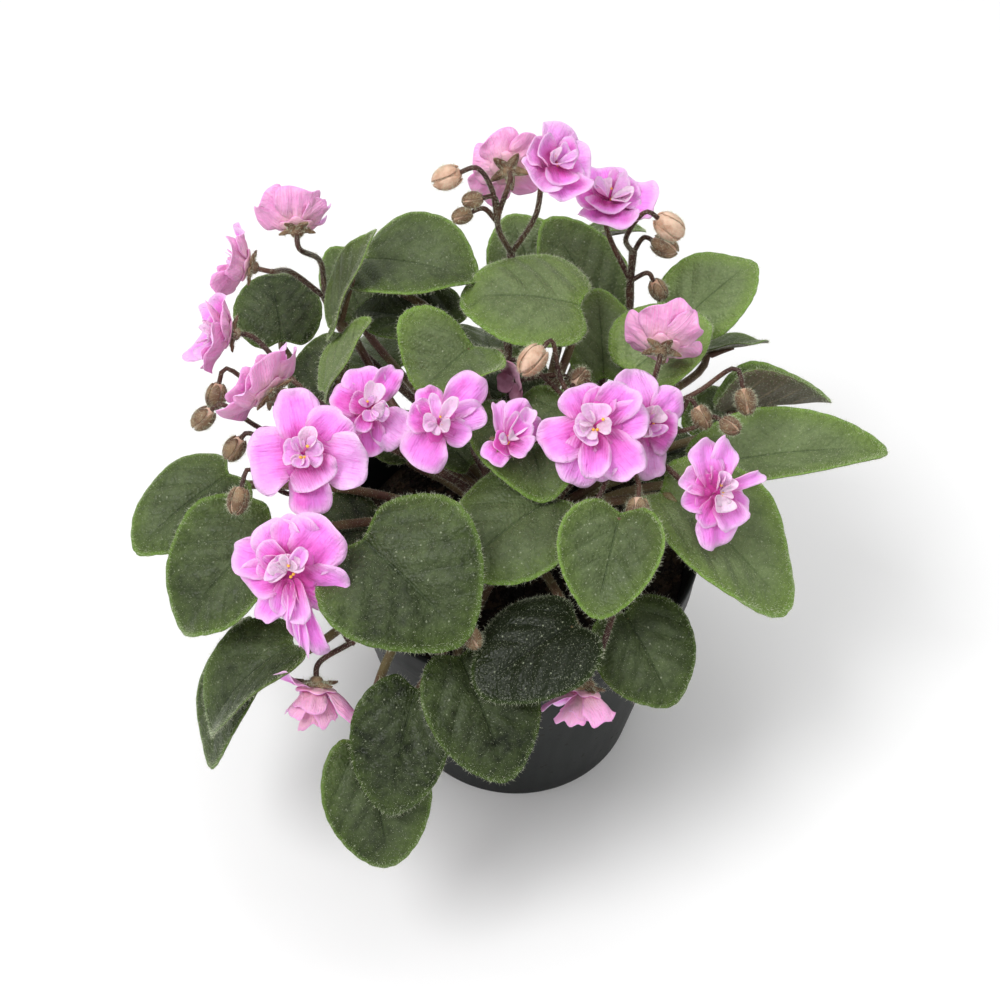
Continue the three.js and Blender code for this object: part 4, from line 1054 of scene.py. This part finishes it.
def hair_tree():
    """Fine pointed hairs that lean at random from the surface."""
    tree = Tree("violet_hairs", Density="Float", Length="Float", Thickness="Float", Lean="Float", Seed="Int")
    points, upright = tree.scatter()
    cone = {"Vertices": 3, "Side Segments": 1, "Fill Segments": 1, "Radius Top": 0.0}
    cone |= {"Radius Bottom": tree.given["Thickness"], "Depth": tree.given["Length"]}
    hair = tree.node("GeometryNodeMeshCone", cone, "Mesh", fill_type="NGON")
    x, y, z = tree.parts(tree.chance((-1, -1, -3.2), (1, 1, 3.2), seed=1))
    x, y = (tree.times(part, tree.given["Lean"]) for part in (x, y))
    turn = tree.node("ShaderNodeCombineXYZ", {0: x, 1: y, 2: z})
    leaning = {"Rotation": upright, "Rotate By": tree.node("FunctionNodeEulerToRotation", {0: turn})}
    stands = tree.node("FunctionNodeRotateRotation", leaning, rotation_space="LOCAL")
    inputs = {"Value": tree.mark(), "From Min": 0.4, "From Max": 1.2, "To Min": 0.6, "To Max": 1.5}
    tall = tree.times(tree.chance(0.5, 1.15, "FLOAT", 2), tree.node("ShaderNodeMapRange", inputs))
    return tree.repeat(points, hair, stands, tree.node("ShaderNodeCombineXYZ", {0: 1.0, 1: 1.0, 2: tall}))


def crumb_tree():
    """Crumbs of potting mix, each squashed and turned at random."""
    tree = Tree("soil_crumbs", Density="Float", Size="Float", Seed="Int")
    points, _ = tree.scatter()
    crumb = tree.node("GeometryNodeMeshIcoSphere", {"Radius": tree.given["Size"], "Subdivisions": 1}, "Mesh")
    turn = tree.node("FunctionNodeEulerToRotation", {0: tree.chance((0, 0, 0), (6.3, 6.3, 6.3), seed=1)})
    return tree.repeat(points, crumb, turn, tree.chance((0.3, 0.4, 0.3), (1.5, 1.0, 0.9), seed=2))


def turned_tree():
    """Turns a profile, given as a row of points, round the upright axis into a closed shell."""
    tree = Tree("turned_pot", Sides="Int")
    profile, sides = tree.given["Surface"], tree.given["Sides"]
    rows = tree.node("GeometryNodeAttributeDomainSize", {0: profile}, "Point Count", component="MESH")
    columns = tree.math("ADD", sides, 1.0)
    grid = tree.node("GeometryNodeMeshGrid", {"Vertices X": columns, "Vertices Y": rows}, "Mesh")
    index = tree.node("GeometryNodeInputIndex", {})
    row = tree.math("MODULO", index, rows)
    step = tree.math("FLOOR", tree.math("DIVIDE", index, rows))
    turn = tree.times(tree.math("DIVIDE", step, sides), 2 * math.pi)
    given = {"Geometry": profile, "Value": tree.node("GeometryNodeInputPosition", {}), "Index": row}
    point = tree.node("GeometryNodeSampleIndex", given, data_type="FLOAT_VECTOR")
    inputs = {"Vector": point, "Axis": (0, 0, 1), "Angle": turn}
    place = tree.node("ShaderNodeVectorRotate", inputs, rotation_type="AXIS_ANGLE")
    shell = tree.node("GeometryNodeSetPosition", {"Geometry": grid, "Position": place})
    return tree.finish(tree.node("GeometryNodeMergeByDistance", {"Geometry": shell, "Distance": 1e-6}))


def turned(name, profile, sides, finish):
    """A new piece that is a profile of (radius, height) pairs in millimetres, turned round."""
    mesh = bpy.data.meshes.new(name)
    mesh.from_pydata([(radius * MM, 0, height * MM) for radius, height in profile], [], [])
    piece = grown(name, show(name + "_profile", mesh), turned_tree(), Sides=sides, Finish=finish)
    piece.data.polygons.foreach_set("use_smooth", [True] * len(piece.data.polygons))
    return piece


def grown(name, ground, tree, **values):
    """A new piece that holds what the tree makes from an object, as a plain mesh."""
    grow = ground.modifiers.new("grow", "NODES")
    grow.node_group = tree
    for item in tree.interface.items_tree:
        if item.in_out == "INPUT" and item.name in values:
            grow[item.identifier] = values[item.name]
    piece = show(name, ground.data)
    keep_result(ground, piece)
    bpy.data.objects.remove(ground)
    return piece


# ---- Sizes and colours that a user would change ----


def number(name, description, default, **settings):
    return bpy.props.FloatProperty(name=name, description=description, default=default, min=0, **settings)


def length(name, description, millimetres):
    return number(name, description, millimetres * MM, precision=5, unit="LENGTH")


def share(name, description, default):
    return number(name, description, default, subtype="FACTOR")


def tint(name, description, *default):
    settings = {"name": name, "description": description, "default": default, "subtype": "COLOR"}
    return bpy.props.FloatVectorProperty(**settings, min=0, max=1, size=3)


class VioletLeafLooks(bpy.types.PropertyGroup):
    thickness: length("Thickness", "How thick a leaf is between its two sides", 0.7)
    quilting: length("Quilting", "How far a leaf swells between its side veins", 1.35)
    scallop: share("Scallops", "How deep the scallops in the margin are, as a share of the leaf", 0.012)
    deep: tint("Deep green", "Colour of the darkest leaves", 0.009, 0.014, 0.004)
    pale: tint("Pale green", "Colour of the palest leaves", 0.31, 0.41, 0.17)
    margin: tint("Margin", "Colour at the margin", 0.21, 0.36, 0.06)
    beneath: tint("Underside", "Colour of the underside", 0.10, 0.12, 0.075)


class VioletBloomLooks(bpy.types.PropertyGroup):
    thickness: length("Thickness", "How thick a petal is", 0.35)
    deep: tint("Deep pink", "Colour of the darker petals", 0.86, 0.12, 0.62)
    body: tint("Petal", "Colour of the middle of a petal", 0.98, 0.30, 0.94)
    pale: tint("Petal edge", "Colour towards the edge of a petal", 0.98, 0.64, 0.97)
    throat: tint("Throat", "Colour where the petals start", 0.60, 0.03, 0.33)
    anther: tint("Anthers", "Colour of the two anthers", 0.90, 0.42, 0.03)


class VioletStalkLooks(bpy.types.PropertyGroup):
    flower_stalk: tint("Flower stalk", "Colour of the flower stalks", 0.045, 0.017, 0.013)
    leaf_stalk: tint("Leaf stalk", "Colour of the leaf stalks", 0.105, 0.045, 0.030)
    sepal: tint("Sepals", "Colour of the sepals", 0.13, 0.07, 0.04)
    bud: tint("Buds", "Colour of the closed buds", 0.52, 0.30, 0.20)


class VioletHairLooks(bpy.types.PropertyGroup):
    leaf_length: length("Leaf hairs", "Length of a hair on a leaf", 0.85)
    stalk_length: length("Stalk hairs", "Length of a hair on a stalk, sepal or bud", 0.9)
    thickness: length("Thickness", "Radius of a hair at its foot", 0.032)
    leaf_density: share("On leaves", "Hairs to a square millimetre of leaf", 2.2)
    stalk_density: share("On stalks", "Hairs to a square millimetre of stalk", 2.6)
    lean: share("Lean", "How far a hair may lean, in radians", 0.7)
    colour: tint("Colour", "Colour of the hairs", 0.66, 0.70, 0.50)


class VioletPotLooks(bpy.types.PropertyGroup):
    plastic: tint("Plastic", "Colour of the pot", 0.008, 0.0095, 0.009)
    soil: tint("Potting mix", "Colour of the potting mix", 0.016, 0.012, 0.009)
    grain: length("Grain", "How uneven the top of the potting mix is", 0.5)
    crumb: length("Crumbs", "Radius of a crumb of potting mix", 1.1)
    crumbs: share("Crumbs", "Crumbs to a square millimetre of soil", 0.40)


class VioletStudioLooks(bpy.types.PropertyGroup):
    floor: tint("Floor", "Colour of the floor", 0.97, 0.97, 0.97)
    key: number("Key light", "Power of the main light", 8.0, unit="POWER")
    fill: number("Fill light", "Power that the soft lights share out", 2.4, unit="POWER")
    sky: share("Surroundings", "Brightness of the white surroundings", 0.52)


# ---- Operators ----


def dress(piece, slot, *nodes):
    """Fixes a finished piece to the object's one body and hides the CAD nodes it stands for; the slot is not
    used.
    """
    if not piece.data.polygons:
        raise RuntimeError(piece.name + " has no faces")
    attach(piece, "root")
    if nodes:
        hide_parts(*nodes)


class VIOLET_OT_pot(bpy.types.Operator):
    """Makes the nursery pot, with its lip and drain holes"""

    bl_idname = "violet.pot"
    bl_label = "Pot"

    def execute(self, context):
        looks = context.scene.violet_pot
        piece = turned("nursery_pot", pot_profile(), POT_SIDES, pot_finish(looks))
        holes = Shape()
        for number in range(DRAIN_HOLES):
            points, faces = lathe([(0, -5), (DRAIN_RADIUS, -5), (DRAIN_RADIUS, 5), (0, 5)], DRAIN_SIDES)
            angle = 2 * math.pi * number / DRAIN_HOLES
            points += np.array([math.cos(angle), math.sin(angle), 0]) * DRAIN_CIRCLE
            holes.add(points, faces)
        drilled(piece, holes.build("drain_hole_cutter", []))
        dress(piece, "pot_plastic", "pot")
        return {"FINISHED"}


class VIOLET_OT_soil(bpy.types.Operator):
    """Fills the pot with potting mix, crumbly on top"""

    bl_idname = "violet.soil"
    bl_label = "Potting mix"

    def execute(self, context):
        looks = context.scene.violet_pot
        finish = soil_finish(looks)
        shape = soil_shape(looks.grain / MM)
        dress(shape.build("potting_mix_plug", [finish]), "potting_mix", "soil")
        values = {"Density": looks.crumbs / MM**2, "Size": looks.crumb, "Seed": CRUMB_SEED, "Finish": finish}
        ground = shape.build("potting_mix_ground", [])
        dress(grown("potting_mix_crumbs", ground, crumb_tree(), **values), "potting_mix")
        return {"FINISHED"}


class VIOLET_OT_crown(bpy.types.Operator):
    """Makes the crown with the stalks of all the leaves"""

    bl_idname = "violet.crown"
    bl_label = "Crown and leaf stalks"

    def execute(self, context):
        looks = context.scene.violet_stalks
        leaves = context.scene.violet_leaves
        finishes = [
            stalk_finish("leaf_stalk", looks.leaf_stalk, (0.16, 0.13, 0.05), 90),
            leaf_finish(leaves),
        ]
        dress(crown_shape(leaves).build("crown_and_leaf_stalks", finishes), "leaf_stalks", "crown")
        return {"FINISHED"}


class VIOLET_OT_leaves(bpy.types.Operator):
    """Makes the blades of all the leaves"""

    bl_idname = "violet.leaves"
    bl_label = "Leaves"

    def execute(self, context):
        looks = context.scene.violet_leaves
        finish = leaf_finish(looks)
        for index, leaf in enumerate(LEAVES):
            shape = Shape()
            leaf_blade(shape, leaf, index, FINE_BLADE, looks)
            dress(shape.build(leaf.name + "_blade", [finish]), "leaves", leaf.name)
        return {"FINISHED"}


class VIOLET_OT_flower_stalks(bpy.types.Operator):
    """Makes the flower stalks, with their sepals and buds"""

    bl_idname = "violet.flower_stalks"
    bl_label = "Flower stalks and buds"

    def execute(self, context):
        looks = context.scene.violet_stalks
        finishes = [
            stalk_finish("flower_stalk", looks.flower_stalk, (0.10, 0.045, 0.028), 140),
            stalk_finish("sepal", looks.sepal, (0.30, 0.20, 0.11), 230),
            stalk_finish("bud", looks.bud, (0.80, 0.56, 0.42), 260, (0.5, 0.7)),
            stalk_finish("withered_petal", (0.26, 0.09, 0.15), (0.60, 0.33, 0.46), 160, (0.5, 0.7)),
        ]
        for bunch in ("back", "left", "right"):
            piece = bunch_shape(bunch).build("flower_stalks_" + bunch, finishes)
            dress(piece, "flower_stalks", "stalks_" + bunch)
        return {"FINISHED"}


class VIOLET_OT_blooms(bpy.types.Operator):
    """Makes the petals, throats and anthers of all the flowers"""

    bl_idname = "violet.blooms"
    bl_label = "Blooms"

    def execute(self, context):
        looks = context.scene.violet_blooms
        finishes = [petal_finish(looks), anther_finish(looks)]
        for index, bloom in enumerate(BLOOMS):
            shape = Shape()
            bloom_petals(shape, bloom, index, looks.thickness)
            dress(shape.build(bloom.name + "_petals", finishes), "petals", bloom.name)
        return {"FINISHED"}


class VIOLET_OT_hairs(bpy.types.Operator):
    """Grows the fine hairs on the leaves, the stalks, the sepals and the buds"""

    bl_idname = "violet.hairs"
    bl_label = "Hairs"

    def execute(self, context):
        looks = context.scene.violet_hairs
        leaves = context.scene.violet_leaves
        tree = hair_tree()
        values = {"Thickness": looks.thickness, "Lean": looks.lean}
        values |= {"Finish": hair_finish("leaf_hair", looks.colour), "Length": looks.leaf_length}
        values["Density"] = looks.leaf_density / MM**2
        third = len(LEAVES) // 3
        for number, side in enumerate(("front", "middle", "rear")):
            shape = Shape()
            for index in range(number * third, (number + 1) * third):
                leaf_blade(shape, LEAVES[index], index, HAIR_BLADE, leaves)
            ground = shape.build("leaf_hair_ground", [])
            dress(grown("leaf_hairs_" + side, ground, tree, **values, Seed=number), "leaves")
        values |= {"Density": looks.stalk_density / MM**2, "Length": looks.stalk_length}
        values["Finish"] = hair_finish("stalk_hair", looks.colour)
        for number, bunch in enumerate(("back", "left", "right")):
            ground = bunch_shape(bunch).build("stalk_hair_ground", [])
            values["Seed"] = STALK_HAIR_SEED + number
            hairs = grown("flower_stalk_hairs_" + bunch, ground, tree, **values)
            dress(hairs, "flower_stalks")
        ground = crown_shape(leaves).build("stalk_hair_ground", [])
        values["Seed"] = LEAF_STALK_HAIR_SEED
        dress(grown("leaf_stalk_hairs", ground, tree, **values), "leaf_stalks")
        return {"FINISHED"}


CAMERA_PLACE = (-0.00531, -0.28958, 0.44750)
CAMERA_TILT, CAMERA_LENS = 40, 56.16
# name, place, the point it shines at, size, and its share of the key or fill power
LIGHTS = [
    ("key_light", (-0.50, -0.30, 1.05), (0, 0, 0.10), 0.6, "key", 1.0),
    ("top_light", (0.25, 0.55, 1.25), (0, 0.1, 0.10), 1.2, "fill", 2.2),
    ("front_light", (0.45, -0.85, 0.55), (0, 0, 0.08), 0.9, "fill", 0.7),
]


class VIOLET_OT_studio(bpy.types.Operator):
    """Sets the pale floor, the soft lights and the camera"""

    bl_idname = "violet.studio"
    bl_label = "Studio"

    def execute(self, context):
        looks = context.scene.violet_studio
        scene = context.scene
        floor = Finish("studio_floor", Roughness=0.9)
        colour = floor.mix(floor.noise(floor.place(), 3), looks.floor, [0.985 * c for c in looks.floor])
        mesh = bpy.data.meshes.new("studio_floor")
        corners = [(-4, -4, 0), (4, -4, 0), (4, 4, 0), (-4, 4, 0)]
        mesh.from_pydata(corners, [], [(0, 1, 2, 3)])
        mesh.materials.append(floor.done(colour, 0.9))
        ground = show("studio_floor", mesh)
        for name, place, aim, size, power, part in LIGHTS:
            light = bpy.data.lights.new(name, "AREA")
            light.shape, light.size, light.energy = "DISK", size, getattr(looks, power) * part
            made = bpy.data.objects.new(name, light)
            made.location = place
            made.rotation_euler = (Vector(place) - Vector(aim)).to_track_quat("Z", "Y").to_euler()
            scene.collection.objects.link(made)
        world = bpy.data.worlds.new("studio_white")
        world.use_nodes = True
        background = world.node_tree.nodes["Background"].inputs
        background["Color"].default_value = (1, 1, 1, 1)
        background["Strength"].default_value = looks.sky
        scene.world = world
        lens = bpy.data.cameras.new("studio_camera")
        lens.lens, lens.sensor_width, lens.clip_start = CAMERA_LENS, 36, 0.01
        camera = bpy.data.objects.new("studio_camera", lens)
        camera.location = CAMERA_PLACE
        camera.rotation_euler = Euler((math.radians(CAMERA_TILT), 0, 0))
        scene.collection.objects.link(camera)
        scene.camera = camera
        scene.view_settings.view_transform = "Standard"
        return {"FINISHED"}


PIECES = (
    VIOLET_OT_studio,
    VIOLET_OT_pot,
    VIOLET_OT_soil,
    VIOLET_OT_crown,
    VIOLET_OT_leaves,
    VIOLET_OT_flower_stalks,
    VIOLET_OT_blooms,
    VIOLET_OT_hairs,
)
LOOKS = {
    "violet_leaves": VioletLeafLooks,
    "violet_blooms": VioletBloomLooks,
    "violet_stalks": VioletStalkLooks,
    "violet_hairs": VioletHairLooks,
    "violet_pot": VioletPotLooks,
    "violet_studio": VioletStudioLooks,
}


class VIOLET_PT_pieces(bpy.types.Panel):
    """Lists the pieces, with their sizes and colours"""

    bl_idname = "VIOLET_PT_pieces"
    bl_label = "Potted african violet"
    bl_space_type = "VIEW_3D"
    bl_region_type = "UI"
    bl_category = "Violet"

    def draw(self, context):
        for piece in PIECES:
            self.layout.operator(piece.bl_idname)
        for name, group in LOOKS.items():
            box = self.layout.box()
            looks = getattr(context.scene, name)
            for prop in group.__annotations__:
                box.prop(looks, prop)


def register():
    for name, group in LOOKS.items():
        bpy.utils.register_class(group)
        setattr(bpy.types.Scene, name, bpy.props.PointerProperty(type=group))
    for made in (*PIECES, VIOLET_PT_pieces):
        bpy.utils.register_class(made)


def unregister():
    for made in (VIOLET_PT_pieces, *reversed(PIECES)):
        bpy.utils.unregister_class(made)
    for name, group in LOOKS.items():
        delattr(bpy.types.Scene, name)
        bpy.utils.unregister_class(group)


def main():
    register()
    for piece in PIECES:
        getattr(bpy.ops.violet, piece.bl_idname.split(".")[1])()


if __name__ == "__main__":
    main()
